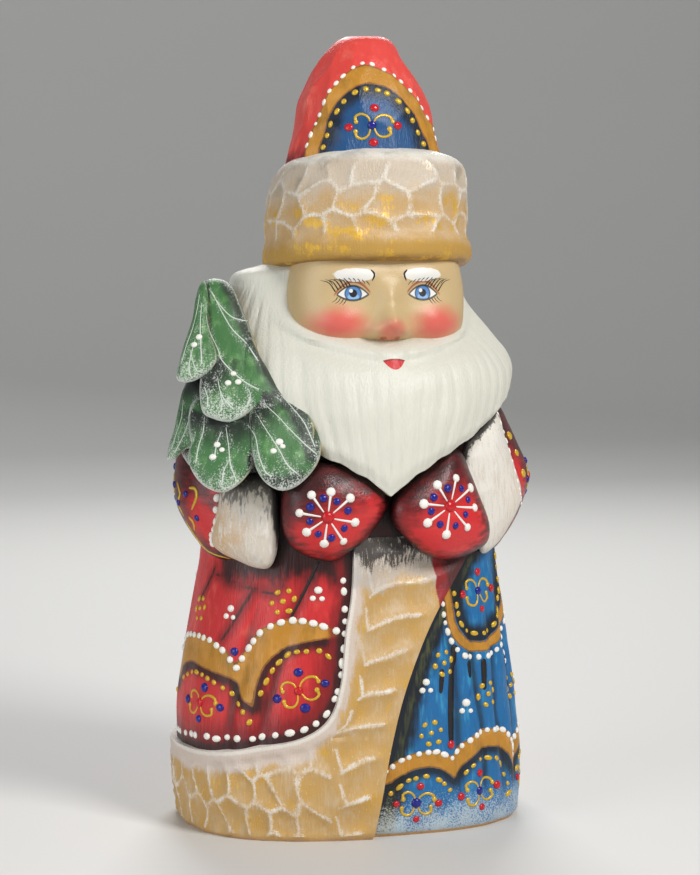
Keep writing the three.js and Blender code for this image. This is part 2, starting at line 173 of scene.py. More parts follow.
@dataclass(frozen=True)
class Rings:
    """The rings of a turned form, lowest first.

    Each row is height, middle X, middle Y, half width, reach to the front, reach to the back, squareness.
    """

    rows: Rows
    tilt_deg: float = 0.0

    def drop(self, y: Points, z: Points) -> Points:
        """How far the form's tilt lowers a point of a ring."""
        return (y - HEAD_Y) * math.tan(math.radians(self.tilt_deg)) * np.clip((172 - z) / 30, 0, 1)

    def point(self, turn: Points, z: Points, swell: float | Points = 0.0) -> Points:
        """Points of the form.

        Args:
            turn: Angles round the form, 0 at the front and a quarter turn at +X.
            z: Heights of the rings.
            swell: How far outwards they lie.

        Returns:
            Rows of x, y, z.
        """
        z = np.broadcast_to(np.asarray(z, dtype=float), np.shape(turn))
        _, cx, cy, half, front, back, square = table_at(self.rows, z)
        c = np.cos(turn)
        reach = np.where(c > 0, front, back)
        x = cx + (half + swell) * signed_power(np.sin(turn), square)
        y = cy - (reach + swell) * signed_power(c, square)
        return np.stack([x, y, z - self.drop(y, z)], axis=-1)

    def unrolled(self, points: Points) -> tuple[Points, Points]:
        """The angle and the ring's height of points on or near the form."""
        z = points[:, 2].copy()
        for _ in range(4):
            z = points[:, 2] + self.drop(points[:, 1], z)
        _, cx, cy, half, front, back, square = table_at(self.rows, z)
        side = (points[:, 0] - cx) / half
        ahead = cy - points[:, 1]
        ahead = ahead / np.where(ahead > 0, front, back)
        return np.arctan2(unpower(side, square), unpower(ahead, square)), z

    def lengths(self) -> tuple[Points, Points]:
        """Angles all round the middle ring, and the length from the back to each."""
        fine = np.linspace(-math.pi, math.pi, 1441)
        z = np.full(fine.shape, (self.rows[0][0] + self.rows[-1][0]) / 2)
        return fine, lengths_along(self.point(fine, z)[:, :2])

    def even_turns(self, turn: Points) -> Points:
        """Angles that lie evenly along the middle ring, for evenly spread ones."""
        fine, along = self.lengths()
        return np.interp((turn + math.pi) / (2 * math.pi) * along[-1], along, fine)

    def arc(self, turn: Points) -> Points:
        """The length along the middle ring from the front to angles, negative to the left."""
        fine, along = self.lengths()
        rounds = np.floor((turn + math.pi) / (2 * math.pi))
        there = np.interp(turn - rounds * 2 * math.pi, fine, along)
        return there + rounds * along[-1] - np.interp(0.0, fine, along)

    def moved(self, turn_deg: float, z: float, across: float) -> float:
        """The angle in degrees that lies a length across from another, at one height."""
        turns = np.linspace(turn_deg - 60, turn_deg + 60, 241)
        along = lengths_along(self.point(np.radians(turns), z))
        return float(np.interp(along[len(turns) // 2] + across, along, turns))


ROBE_RINGS = Rings((
    (0, 0.2, 0, 36.8, 28.2, 25.0, 2.5),
    (8, 0.2, 0, 37.2, 28.6, 25.4, 2.5),
    (17, -0.1, 0, 37.4, 28.2, 25.2, 2.45),
    (25, -0.4, 0, 37.1, 27.7, 24.8, 2.4),
    (35, -0.4, 0, 35.9, 26.9, 24.3, 2.4),
    (46, -0.3, 0, 34.1, 26.0, 23.7, 2.35),
    (57, -0.2, 0, 32.2, 25.0, 23.0, 2.3),
    (75, 0, 0, 30.5, 24.5, 22.6, 2.3),
    (92, 0, 0, 30.0, 23.0, 21.4, 2.3),
    (106, 0, 0, 25.5, 19.0, 18.6, 2.2),
    (118, 0.5, -1, 17.0, 13.0, 14.0, 2.1),
))
MANE_RINGS = Rings((
    (71, 0, -2, 24.0, 32.0, 22.0, 2.1),
    (80, 0.2, -2, 27.4, 31.6, 24.0, 2.1),
    (86, 0.4, -2, 30.4, 30.9, 24.6, 2.1),
    (92, 0.5, -2, 33.6, 30.0, 25.2, 2.1),
    (98, 0.5, -2, 34.9, 28.2, 25.6, 2.1),
    (102, 0.2, -2, 34.0, 25.2, 25.6, 2.1),
    (105, -0.4, -2, 32.2, 21.0, 25.2, 2.1),
    (108.5, -1.1, -2, 30.0, 16.0, 24.6, 2.1),
    (113, -1.8, -2.6, 27.2, 12.5, 23.6, 2.15),
    (117, -2.2, -3.2, 25.0, 11.0, 22.6, 2.2),
    (119.4, -2.0, -3.6, 23.6, 10.5, 21.4, 2.2),
    (121.5, 0.4, -4.4, 19.4, 11.5, 18.6, 2.1),
    (128, 2.0, -5, 17.0, 12.0, 17.0, 2.1),
))
HAT_TILT_DEG = 7.0
HAT_RINGS = Rings((
    (140, 1.6, -5, 18.0, 17.2, 17.6, 2.1),
    (144.6, 1.7, -5, 16.9, 16.2, 16.6, 2.1),
    (149, 1.8, -5, 15.5, 15.2, 15.3, 2.1),
    (156.8, 1.4, -4.6, 13.8, 13.4, 13.4, 2.1),
    (161.1, 1.4, -4.4, 11.5, 11.2, 11.2, 2.05),
    (165.5, 1.4, -4.2, 8.7, 8.4, 8.4, 2.0),
    (167.7, 1.8, -4, 7.2, 6.8, 6.8, 2.0),
    (169.2, 1.9, -4, 5.7, 5.2, 5.2, 2.0),
    (170, 2.0, -4, 4.2, 4.0, 4.0, 2.0),
), HAT_TILT_DEG)
BAND_RINGS = Rings((
    (119.8, 2.4, -5, 17.0, 16.5, 17.0, 2.2),
    (120.3, 2.4, -5, 20.9, 20.8, 20.6, 2.25),
    (122.4, 2.5, -5, 22.3, 22.1, 22.2, 2.3),
    (127, 2.1, -5, 21.8, 21.8, 21.8, 2.3),
    (133, 2.2, -5, 21.7, 21.4, 21.6, 2.3),
    (139.4, 2.8, -5, 21.0, 20.7, 21.0, 2.25),
    (142.6, 3.0, -5, 19.0, 18.8, 19.2, 2.2),
    (144.2, 2.7, -5, 15.8, 15.8, 16.0, 2.1),
), HAT_TILT_DEG)


@dataclass(frozen=True)
class Cuts:
    """A gouge's work at points of a surface.

    depth is how deep each is cut. up and along are signed distances from the ridges between rows of cuts and
    between the cuts of a row, and calm goes from 0 to 1 where the ridges fade out.
    """

    depth: Points
    up: Points
    along: Points
    calm: Points

    def blend(self, other: "Cuts", share: Points) -> "Cuts":
        """These cuts where the share is low, and the others where it is high."""
        second = share > 0.5
        return Cuts(
            mix(self.depth, other.depth, share), np.where(second, other.up, self.up),
            np.where(second, other.along, self.along), np.where(second, other.calm, self.calm),
        )

    def faded(self, keep: Points) -> "Cuts":
        """The same cuts, less deep where keep is under 1."""
        return Cuts(self.depth * keep, self.up, self.along, np.maximum(self.calm, 1 - keep))


@dataclass(frozen=True)
class KnifeScoops:
    """Shallow hollows that a gouge leaves side by side, in staggered rows.

    wide and high are the pitch of the cells, low the height where the first row starts, and round the length
    after which a row meets its own start.
    """

    wide: float
    high: float
    depth: float
    low: float = 0.0
    round: float = 0.0
    jitter: float = 0.26
    seed: int = 1

    def read(self, along: Points, z: Points) -> Cuts:
        """The hollows at points of a surface.

        Args:
            along: How far round the surface the points lie.
            z: Their heights.

        Returns:
            The cuts there.
        """
        columns = 2 * max(1, round(self.round / self.wide / 2)) if self.round else 512
        wide = self.round / columns if self.round else self.wide
        shift = np.random.default_rng(self.seed).uniform(-self.jitter, self.jitter, (64, columns, 2))
        u, v = along / wide, (z - self.low) / self.high
        column, row = np.floor(u).astype(int), np.floor(v).astype(int)
        near = np.full((2, 2, *u.shape), 9.0)
        for dr in (-1, 0, 1):
            r = row + dr
            for dc in (-1, 0, 1, 2):
                c = column + dc - (r % 2)
                at = shift[r % 64, c % columns]
                far = np.hypot(u - (c + 0.5 + 0.5 * (r % 2) + at[..., 0]), v - (r + 0.5 + at[..., 1]))
                for kind in np.ndindex(2, 2):
                    here = (r % 2 == kind[0]) & (c % 2 == kind[1])
                    near[kind] = np.where(here, np.minimum(near[kind], far), near[kind])
        rows = near.min(axis=1)
        own = np.where(rows[0] < rows[1], near[0], near[1])
        unit = 0.5 * math.sqrt(wide * self.high)
        first, second = np.sort(near.reshape(4, -1), axis=0)[:2]
        depth = self.depth * (1 - (first / np.maximum(second, 1e-6)) ** 2)
        return Cuts(depth, (rows[0] - rows[1]) * unit, (own[0] - own[1]) * unit, np.zeros(u.shape))


def ball(columns: int, rows: int) -> tuple[bmesh.types.BMesh, Points, Points]:
    """A closed ball, the start of every rounded form.

    Args:
        columns: Faces round its axis, which is Z.
        rows: Faces from pole to pole.

    Returns:
        The bmesh, each vertex's angle from -Y towards +X, and its row, from 0 at the lower pole.
    """
    bm = bmesh.new()
    bmesh.ops.create_grid(bm, x_segments=columns, y_segments=rows, size=1.0)
    for v in bm.verts:
        around, up = v.co.x * math.pi, v.co.y * math.pi / 2
        flat = math.cos(up)
        v.co = (math.sin(around) * flat, -math.cos(around) * flat, math.sin(up))
    bmesh.ops.remove_doubles(bm, verts=bm.verts, dist=1e-5)
    at = np.array([v.co for v in bm.verts])
    turn = np.arctan2(at[:, 0], -at[:, 1])
    row = np.rint((np.arcsin(np.clip(at[:, 2], -1, 1)) / math.pi + 0.5) * rows)
    return bm, turn, row


def to_object(bm: bmesh.types.BMesh, name: str, points: Points | None = None) -> Form:
    """Makes an object of a bmesh and frees it.

    Args:
        bm: The shape.
        name: The object's name.
        points: New places of its vertices, in units, or None where the shape is in units already.

    Returns:
        The object, in the scene, at the origin.
    """
    mesh = bpy.data.meshes.new(name)
    bm.to_mesh(mesh)
    bm.free()
    if points is None:
        points = np.empty(len(mesh.vertices) * 3)
        mesh.vertices.foreach_get("co", points)
    mesh.vertices.foreach_set("co", np.asarray(points, dtype=np.float32).ravel() * UNIT)
    mesh.update()
    piece = bpy.data.objects.new(name, mesh)
    bpy.context.scene.collection.objects.link(piece)
    return piece


def standing(name: str, columns: int, rows: int, skin: Skinner) -> Form:
    """A closed upright form with flat ends.

    Args:
        name: The form's name.
        columns: Faces round it.
        rows: Faces up its side.
        skin: Gives the points for angles and for shares of the way up.

    Returns:
        The form's object.
    """
    bm, turn, row = ball(columns, rows + 2)
    share = np.clip((row - 1) / rows, 0, 1)
    points = skin(turn, share)
    for pole, share_there in ((0, 0.0), (rows + 2, 1.0)):
        ends = skin(np.array([0.0, math.pi]), np.full(2, share_there))
        points[row == pole] = ends.mean(axis=0)
    return to_object(bm, name, points)


def closed_curve(points: Sequence[Pair], share: Points) -> Points:
    """A smooth closed curve through points.

    Args:
        points: The points, in order.
        share: Shares of the way round.

    Returns:
        Rows of two coordinates.
    """
    knots = np.array(points, dtype=float)
    count = len(knots)
    whole = np.floor(share * count).astype(int)
    t = (share * count - whole)[:, None]
    p0, p1, p2, p3 = (knots[(whole + k) % count] for k in (-1, 0, 1, 2))
    d0, d1, d2 = (np.sqrt(np.linalg.norm(b - a, axis=1))[:, None] for a, b in ((p0, p1), (p1, p2), (p2, p3)))
    m1 = ((p1 - p0) / d0 - (p2 - p0) / (d0 + d1) + (p2 - p1) / d1) * d1
    m2 = ((p2 - p1) / d1 - (p3 - p1) / (d1 + d2) + (p3 - p2) / d2) * d1
    return p1 + m1 * t + (3 * (p2 - p1) - 2 * m1 - m2) * t**2 + (2 * (p1 - p2) + m1 + m2) * t**3


def open_curve(points: Sequence[Pair], count: int) -> Points:
    """A smooth open curve through points, as count + 1 rows of two coordinates."""
    knots = np.array(points, dtype=float)
    knots = np.vstack([2 * knots[0] - knots[1], knots, 2 * knots[-1] - knots[-2]])
    u = np.linspace(0, len(points) - 1, count + 1)
    i = np.minimum(u.astype(int), len(points) - 2)
    t = (u - i)[:, None]
    p0, p1, p2, p3 = (knots[i + k] for k in range(4))
    square = (2 * p0 - 5 * p1 + 4 * p2 - p3) * t**2
    cube = (3 * p1 - p0 - 3 * p2 + p3) * t**3
    return 0.5 * (2 * p1 + (p2 - p0) * t + square + cube)


def across_at(line: Sequence[Pair], z: Points) -> Points:
    """The first coordinate, at heights, of a smooth line that rises."""
    return np.interp(z, *open_curve(line, 40).T[::-1])


def far_from(path: Points, u: Points, z: Points) -> Points:
    """How far points lie from a path of straight pieces, for their two coordinates, 99 at the most."""
    far = np.full(u.shape, 99.0)
    for (u0, z0), (u1, z1) in zip(path[:-1], path[1:]):
        du, dz = u1 - u0, z1 - z0
        t = np.clip(((u - u0) * du + (z - z0) * dz) / max(1e-9, du * du + dz * dz), 0, 1)
        far = np.minimum(far, np.hypot(u - u0 - du * t, z - z0 - dz * t))
    return far


def write_mark(mesh: bpy.types.Mesh, name: str, values: Points) -> None:
    """Writes numbers for the paints at a mesh's points."""
    if name in mesh.attributes:
        mesh.attributes.remove(mesh.attributes[name])
    layer = mesh.attributes.new(name, "FLOAT", "POINT")
    layer.data.foreach_set("value", np.asarray(values, dtype=np.float32))


@dataclass(frozen=True)
class Lump:
    """A rounded form drawn by its outline of (across, height), as seen from turn left of the front.

    At the outline's middle it lies depth in front of the figure's axis, leans in depth by lean across and
    up, and stands out from there by front and back.
    """

    outline: Path
    depth: float
    lean: Pair
    front: float
    back: float
    squareness: float
    turn: float = VIEW_TURN

    @property
    def middle(self) -> Points:
        """The middle of the outline's points."""
        return np.mean(np.array(self.outline, dtype=float), axis=0)

    def ahead(self, a: Points, h: Points) -> Points:
        """How far in front of the axis the outline's own plane lies."""
        mid = self.middle
        return self.depth + self.lean[0] * (a - mid[0]) + self.lean[1] * (h - mid[1])

    def carve(self, name: str, columns: int, rows: int, relief: Relief | None = None) -> Form:
        """Builds the form.

        Args:
            name: The form's name.
            columns: Faces round the outline.
            rows: Faces from back to front.
            relief: Depth to add in front, or None.

        Returns:
            The form's object.
        """
        points = self.outline
        knots = np.array(points, dtype=float)
        area = np.sum(knots[:, 0] * np.roll(knots[:, 1], -1) - np.roll(knots[:, 0], -1) * knots[:, 1])
        if area < 0:
            points = points[::-1]
        bm, turn, row = ball(columns, rows)
        tall = np.sin((row / rows - 0.5) * math.pi)
        flat = np.sqrt(np.maximum(0, 1 - tall**2))
        rim = closed_curve(points, (turn / (2 * math.pi)) % 1)
        reach = signed_power(flat, self.squareness)[:, None]
        across, height = mix(self.middle, rim, reach).T
        out = signed_power(tall, self.squareness) * np.where(tall > 0, self.front, self.back)
        if relief is not None:
            out = out + np.where(tall > 0, relief(across, height, tall) * ease(tall * 3), 0)
        forward = self.ahead(across, height) + out
        c, s = math.cos(self.turn), math.sin(self.turn)
        places = np.stack([across * c - forward * s, -across * s - forward * c, height], axis=1)
        piece = to_object(bm, name, places)
        low, high = knots.min(axis=0), knots.max(axis=0)
        # All three are 1 or more on the lump, so that 0 tells the points that a joining made.
        write_mark(piece.data, "rim", 2 - reach[:, 0] + 0.5 * ease(-tall * 5))
        write_mark(piece.data, "side", 1 + (across - low[0]) / (high[0] - low[0]))
        write_mark(piece.data, "fall", 1 + (height - low[1]) / (high[1] - low[1]))
        return piece


def knife_relief(depth: float, size: float, seed: int, cuts: KnifeScoops | None = None) -> Relief:
    """What the knife leaves on a lump.

    Args:
        depth: How deep the unevenness is.
        size: How far its hollows lie apart.
        seed: Picks them.
        cuts: The facets that are cut in as well, or None.

    Returns:
        The relief, for the lump's carving.
    """
    def relief(across: Points, height: Points, tall: Points) -> Points:
        """The relief at points of the lump."""
        spots = np.stack([across, height, np.zeros_like(across)], axis=1)
        uneven = depth * unevenness(spots, size, seed)
        return uneven if cuts is None else uneven - cuts.read(across + 200, height).depth

    return relief


class Boolean(Enum):
    """What a carving tool does to a form."""

    JOIN = "UNION"
    CUT = "DIFFERENCE"
    KEEP = "INTERSECT"


def carved_with(form: Form, tools: Sequence[Form], how: Boolean) -> Form:
    """Works tools into a form, and removes them.

    Args:
        form: The form that changes.
        tools: Closed forms, each worked in by itself.
        how: What each of them does.

    Returns:
        The form.
    """
    for tool in tools:
        step = form.modifiers.new(tool.name, "BOOLEAN")
        step.operation = how.value
        step.solver = "MANIFOLD"
        step.material_mode = "TRANSFER"
        step.object = tool
    graph = bpy.context.evaluated_depsgraph_get()
    mesh = bpy.data.meshes.new_from_object(form.evaluated_get(graph), depsgraph=graph)
    form.modifiers.clear()
    old, form.data = form.data, mesh
    bpy.data.meshes.remove(old)
    for tool in tools:
        bpy.data.meshes.remove(tool.data)
    return form


def block(name: str, low: Sequence[float], high: Sequence[float]) -> Form:
    """A plain block from one corner to the other, for cutting with."""
    bm = bmesh.new()
    middle = [(a + b) / 2 for a, b in zip(low, high)]
    size = [b - a for a, b in zip(low, high)]
    place = Matrix.Translation(middle) @ Matrix.Diagonal((*size, 1.0))
    bmesh.ops.create_cube(bm, size=1.0, matrix=place)
    return to_object(bm, name)


def front_block(name: str, outline: Iterable[Sequence[float]], near: float, far: float) -> Form:
    """A block with the given outline of (x, z), from y = near to y = far, for cutting with."""
    bm = bmesh.new()
    corners = [bm.verts.new((x, near, z)) for x, z in outline]
    face = bm.faces.new(corners)
    out = bmesh.ops.extrude_face_region(bm, geom=[face], use_keep_orig=True)["geom"]
    moved = [v for v in out if isinstance(v, bmesh.types.BMVert)]
    bmesh.ops.translate(bm, verts=moved, vec=(0, far - near, 0))
    bmesh.ops.recalc_face_normals(bm, faces=bm.faces)
    return to_object(bm, name)


def painted(piece: Form, paint: Material) -> Form:
    """The same form, with a paint on all its faces."""
    piece.data.materials.append(paint)
    return piece


@dataclass(frozen=True)
class PaintedLine:
    """A painted line, of smooth stretches.

    On a turned form its points are (turn in degrees, height). With no rings they are (across, height) as seen
    from turn left of the front.
    """

    stretches: tuple[Path, ...]
    rings: Rings | None = ROBE_RINGS

    def lengths(self, first: Points) -> Points:
        """Lengths round the form for first coordinates."""
        return first if self.rings is None else self.rings.arc(np.radians(first))

    def far(self, first: Points, z: Points) -> Points:
        """How far points lie from the line, for their two coordinates."""
        u = self.lengths(first)
        paths = [open_curve(part, 8 * (len(part) - 1)) for part in self.stretches]
        unrolled = [np.stack([self.lengths(path[:, 0]), path[:, 1]], axis=1) for path in paths]
        return np.min([far_from(path, u, z) for path in unrolled], axis=0)

    def above(self, first: Points, z: Points) -> Points:
        """How far points lie above the line, negative below it."""
        path = np.vstack([open_curve(part, 8 * (len(part) - 1)) for part in self.stretches])
        path = path[np.argsort(path[:, 0], kind="stable")]
        return self.far(first, z) * np.sign(z - np.interp(first, path[:, 0], path[:, 1]))

    def spaced(self, pitch: float, seed: int = 0, wobble: float = 0.12) -> Points:
        """Places along the line for a row of dots.

        Args:
            pitch: The distance from dot to dot.
            seed: Picks the small errors of the hand.
            wobble: How large those are, as a share of the pitch.

        Returns:
            Rows of turn in degrees and height.
        """
        rng = np.random.default_rng(seed)
        rows = []
        for part in self.stretches:
            path = open_curve(part, 12 * (len(part) - 1))
            along = lengths_along(self.rings.point(np.radians(path[:, 0]), path[:, 1]))
            count = max(1, round(along[-1] / pitch))
            at = np.linspace(0, along[-1], count + 1)
            at = at + rng.uniform(-wobble, wobble, count + 1) * pitch
            spot = np.stack([np.interp(at, along, path[:, k]) for k in (0, 1)], axis=1)
            rows.append(spot if not rows else spot[1:])
        found = np.vstack(rows)
        found[:, 1] += rng.uniform(-wobble, wobble, len(found)) * pitch * 0.4
        return found


@dataclass(frozen=True)
class Robes:
    """The blue robe, the red coat over it that opens in front, and the coat's fur edge and hem."""

    coat_step: float = 1.0
    fur_step: float = 1.1
    chamfer: float = 1.2
    hem_height: float = 17.8
    coat_top: float = 118.0
    robe_top: float = 72.0
    fur_top: float = 64.0
    side_edge_wide: float = 8.0
    side_edge_front: float = 5.0
    side_edge_top: float = 62.0
    fold_depth: float = 0.9
    blue_folds: tuple[float, ...] = (0.42, 0.62, 0.84, 1.08, 1.32)
    columns: int = 300
    # The coat opens along this line, seen from the front: up the fur's right edge, then under the mitten.
    opening: Path = (
        (-3.2, -3), (-2.7, 1), (0, 15), (3.2, 27.7), (7.2, 38.5), (11.6, 47.2), (18, 56.5), (25, 66),
    )
    # The fur's other edge: along the hem from the side, round the corner and up the front.
    fur_line: Path = (
        (-60, 17.8), (-38, 17.8), (-26, 20.2), (-17.5, 22.2), (-12.2, 26.0),
        (-9.6, 33), (-8.2, 44), (-6.6, 54), (-6.2, 70),
    )
    hem_scoops: KnifeScoops = KnifeScoops(
        wide=6.4, high=8.2, depth=0.8, low=-0.6, round=216.0, jitter=0.34, seed=5)
    # The front strip's scallops. In the corner under corner_top they start at corner_x.
    corner_top: float = 22.0
    corner_x: float = -14.2
    strip_pitch: float = 7.4
    strip_margin: float = 4.6
    strip_lean: float = 1.9
    strip_depth: float = 0.95

    def folds(self, turn: Points, z: Points) -> Points:
        """The cloth's carved folds, in units outwards."""
        low = ease((66 - z) / 30) * ease(z / 12)
        blue = -sum(bell((turn - at - 0.02 * np.sin(z * 0.13 + at * 9)) / 0.06) for at in self.blue_folds)
        red = -bell((turn + 0.42 + (58 - z) * 0.007) / 0.06) - bell((turn + 0.72 + (58 - z) * 0.006) / 0.07)
        back = np.where(np.abs(turn) > 1.7, 0.8 * np.cos(turn * 9) - 0.4, 0)
        return self.fold_depth * low * (blue + red + back)

    def strip_share(self, x: Points, z: Points) -> Points:
        """Where a point lies across the front strip, 0 at the fur's outer edge and 1 at the opening."""
        left = across_at(self.fur_line[3:], z)
        return (x - left) / (across_at(self.opening, z) - left)

    def strip_cuts(self, x: Points, z: Points) -> Cuts:
        """The scallops down the front strip, one above the other, each with an upright edge at its left."""
        along = x - np.where(z > self.corner_top, across_at(self.fur_line[3:], z), self.corner_x)
        rise = 0.9 * np.sqrt(np.maximum(0.04, along - self.strip_margin + 0.4))
        v = (z - rise - 0.35 * np.sin(along * 0.42 + z * 0.2)) / self.strip_pitch
        row = np.floor(v).astype(int)
        share = v - row
        uneven = np.random.default_rng(8).uniform(-0.5, 0.5, 32)[row % 32]
        start = self.strip_margin + uneven - self.strip_lean * share
        depth = self.strip_depth * 4 * share * (1 - share) * (1.3 - 0.6 * share) * ease((along - start) / 1.5)
        calm = np.maximum(1 - ease((along - start + 1.2) / 1.2), ease((self.strip_share(x, z) - 0.8) / 0.1))
        calm = np.maximum(calm, ease((share - 0.7) * 8) * ease((start + 1.2 - along) / 1.0))
        return Cuts(depth, np.sin(math.pi * v) * self.strip_pitch / math.pi, along - start, calm)

    def fur(self, points: Points) -> Cuts:
        """The gouge's work on the fur, at points on the fur's plain form."""
        turn, z = ROBE_RINGS.unrolled(points)
        x, y = points[:, 0], points[:, 1]
        front = y < 0
        along = turn * self.hem_scoops.round / (2 * math.pi) + 0.2 * z + 0.7 * np.sin(z * 0.5 + turn * 9)
        hem = self.hem_scoops.read(along, z + 0.5 * np.sin(turn * 14))
        share = np.where(front & (x < 30), ease((x + 13.5) / 3), 0)
        margin = ease((self.fur_line_distance(turn, z, points) - 1.4) / 1.6)
        edge = np.where(front, ease((1 - self.strip_share(x, z)) * 7 - 0.25), 1)
        return hem.blend(self.strip_cuts(x, z), share).faded(margin * edge * ease((z - 0.3) / 1.2))

    def fur_line_distance(self, turn: Points, z: Points, points: Points) -> Points:
        """How far points lie inside the fur from its border with the red coat."""
        x, y = points[:, 0], points[:, 1]
        far = far_from(open_curve(self.fur_line, 60), x, z)
        beyond = y - self.side_edge_front - self.side_edge_wide
        over = z - self.hem_height
        strip = (x > 0) & (z < self.fur_top)
        on_coat = np.abs(np.where(strip, np.minimum(over, beyond), over))
        on_strip = np.hypot(beyond, np.maximum(0, -over))
        return np.where(y < 0, far, np.where(strip & (beyond < 0), on_strip, on_coat))

    def layer(self, name: str, step: float, top: float, rows: int, fur: bool) -> Form:
        """One closed layer of the robes, from the base up.

        Args:
            name: The layer's name.
            step: How far outside the robe it lies.
            top: Its height.
            rows: Faces up its side.
            fur: True where the gouge's scoops are cut into it instead of folds.

        Returns:
            The layer's object.
        """
        def skin(turn: Points, share: Points) -> Points:
            """The layer's points."""
            z = top * share ** (1.0 if top < 100 else 1.25)
            turn = ROBE_RINGS.even_turns(turn)
            plain = ROBE_RINGS.point(turn, z, step)
            swell = step - np.maximum(0, self.chamfer - z) * 0.8 + 0.12 * unevenness(plain, 9, 3)
            if fur:
                bulge = 0.5 * ease(z / 9) * ease((self.hem_height + 2 - z) / 9)
                swell = swell + bulge - self.fur(plain).depth
            else:
                swell = swell + self.folds(turn, z)
            return ROBE_RINGS.point(turn, z, swell)

        return standing(name, self.columns, rows, skin)

    def build(self, finishes: "Finishes") -> Forms:
        """Carves the robe, the coat and the fur edge.

        Args:
            finishes: The paints.

        Returns:
            Their objects.
        """
        reach, under, top = 60.0, -3.0, self.opening[-1][1]
        near = -reach
        opening = [*open_curve(self.opening, 60), (reach, top), (reach, under)]
        fur_front = [*open_curve(self.fur_line, 80), (26, 70), (reach, top), (reach, under), (-reach, under)]
        robe = painted(self.layer("robe", 0.0, self.robe_top, 104, False), finishes.robe_blue)
        coat = painted(self.layer("coat", self.coat_step, self.coat_top, 140, False), finishes.coat_red)
        fur_step = self.coat_step + self.fur_step
        fur = painted(self.layer("fur_edge", fur_step, self.fur_top, 104, True), finishes.fur)
        side_low = (0, self.side_edge_front - 1, under)
        side_high = (reach, self.side_edge_front + self.side_edge_wide, self.side_edge_top)
        kept = painted(front_block("kept", fur_front, near, 0.0), finishes.fur)
        hem = painted(block("hem", (-reach, -0.5, under), (reach, reach, self.hem_height)), finishes.fur)
        side = painted(block("side", side_low, side_high), finishes.fur)
        carved_with(kept, [hem, side], Boolean.JOIN)
        carved_with(fur, [kept], Boolean.KEEP)
        for layer, paint in ((coat, finishes.coat_red), (fur, finishes.fur)):
            gap = painted(front_block("opening", opening, near, self.side_edge_front), paint)
            carved_with(layer, [gap], Boolean.CUT)
        return [robe, coat, fur]


@dataclass(frozen=True)
class HairAndBeard:
    """Hair and beard as one mass. Its lower edge runs from the beard's point round to the nape."""

    edge: Rows = (
        (0, 73.4), (0.024, 75.0), (0.06, 77.2), (0.1, 79.2), (0.14, 80.9), (0.24, 85.0), (0.34, 89.4),
        (0.42, 92.0), (0.5, 95.5), (0.62, 101.5), (0.8, 104.0), (1, 104.6),
    )
    top: float = 127.0
    tuck: float = 0.1
    flutes: int = 41
    flute_depth: float = 0.5
    columns: int = 330
    rows: int = 76

    def skin(self, angle: Points, share: Points) -> Points:
        """The mass's points for angles round it and shares of the way up."""
        rise = np.clip((share - self.tuck) / (1 - self.tuck), 0, 1)
        turn = angle - (0.3 + 0.14 * rise) * np.sin(angle)
        edge = table_at(self.edge, np.abs(turn) / math.pi)[1]
        wave = 0.2 * np.sin(angle * 23 + 1.0) * (1 - rise) * ease(np.abs(turn) * 4)
        z = mix(edge + wave, self.top, rise**1.2)
        plain = MANE_RINGS.point(turn, z)
        across = (plain[:, 0] - HEAD_X) / FACE_HALF_WIDTH
        smile = MOUTH_Z + 0.4 + 4.5 * across**2
        front = np.cos(turn) > 0
        lip = 0.9 * bell(across * 9) * bell((z - MOUTH_Z + 0.8) / 1.3)
        roll = ease((z - smile + 1.3) / 2.6) * (1 - 0.6 * ease((z - smile - 1.8) / 5))
        moustache = np.where(front, 2.4 * roll * ease((1.25 - np.abs(across)) * 2.2), 0)
        smooth = ease((np.abs(turn) - 0.85) / 0.3) * ease((2.3 - np.abs(turn)) / 0.4) * ease((z - 96) / 8)
        fluted = ease((smile - z - 1) / 9 + 3 * np.clip(np.abs(across) - 0.95, 0, 1))
        bend = 0.35 * np.sin(z * 0.16 + angle * 3) + 0.16 * np.sin(z * 0.41 + angle * 7)
        wander = 0.5 * np.sin(angle * 5.3 + 0.7) + 0.3 * np.sin(angle * 12.1)
        groove = np.abs(np.sin((self.flutes * angle / 2) + bend + wander))
        fine = np.abs(np.sin(self.flutes * angle * 1.17 + 2 * bend + 1.3))
        strength = (0.75 + 0.25 * np.sin(angle * 9.7 + 2)) * (1 - 0.85 * smooth)
        strength = strength * (0.3 + 0.7 * ease(rise * 7))
        flute = (np.sqrt(groove) - 1) * self.flute_depth * strength + 0.1 * fine
        inwards = np.where(share < self.tuck, -5 * (1 - share / self.tuck) - 0.6, -0.9 * ease(1 - rise * 9))
        swell = inwards + flute * np.where(front, fluted, 1) + lip + moustache
        return MANE_RINGS.point(turn, z, swell + 0.16 * unevenness(plain, 11, 4))

    def build(self, finishes: "Finishes") -> Forms:
        """Carves the hair and beard, as a list of one object."""
        return [painted(standing("hair_and_beard", self.columns, self.rows, self.skin), finishes.hair)]


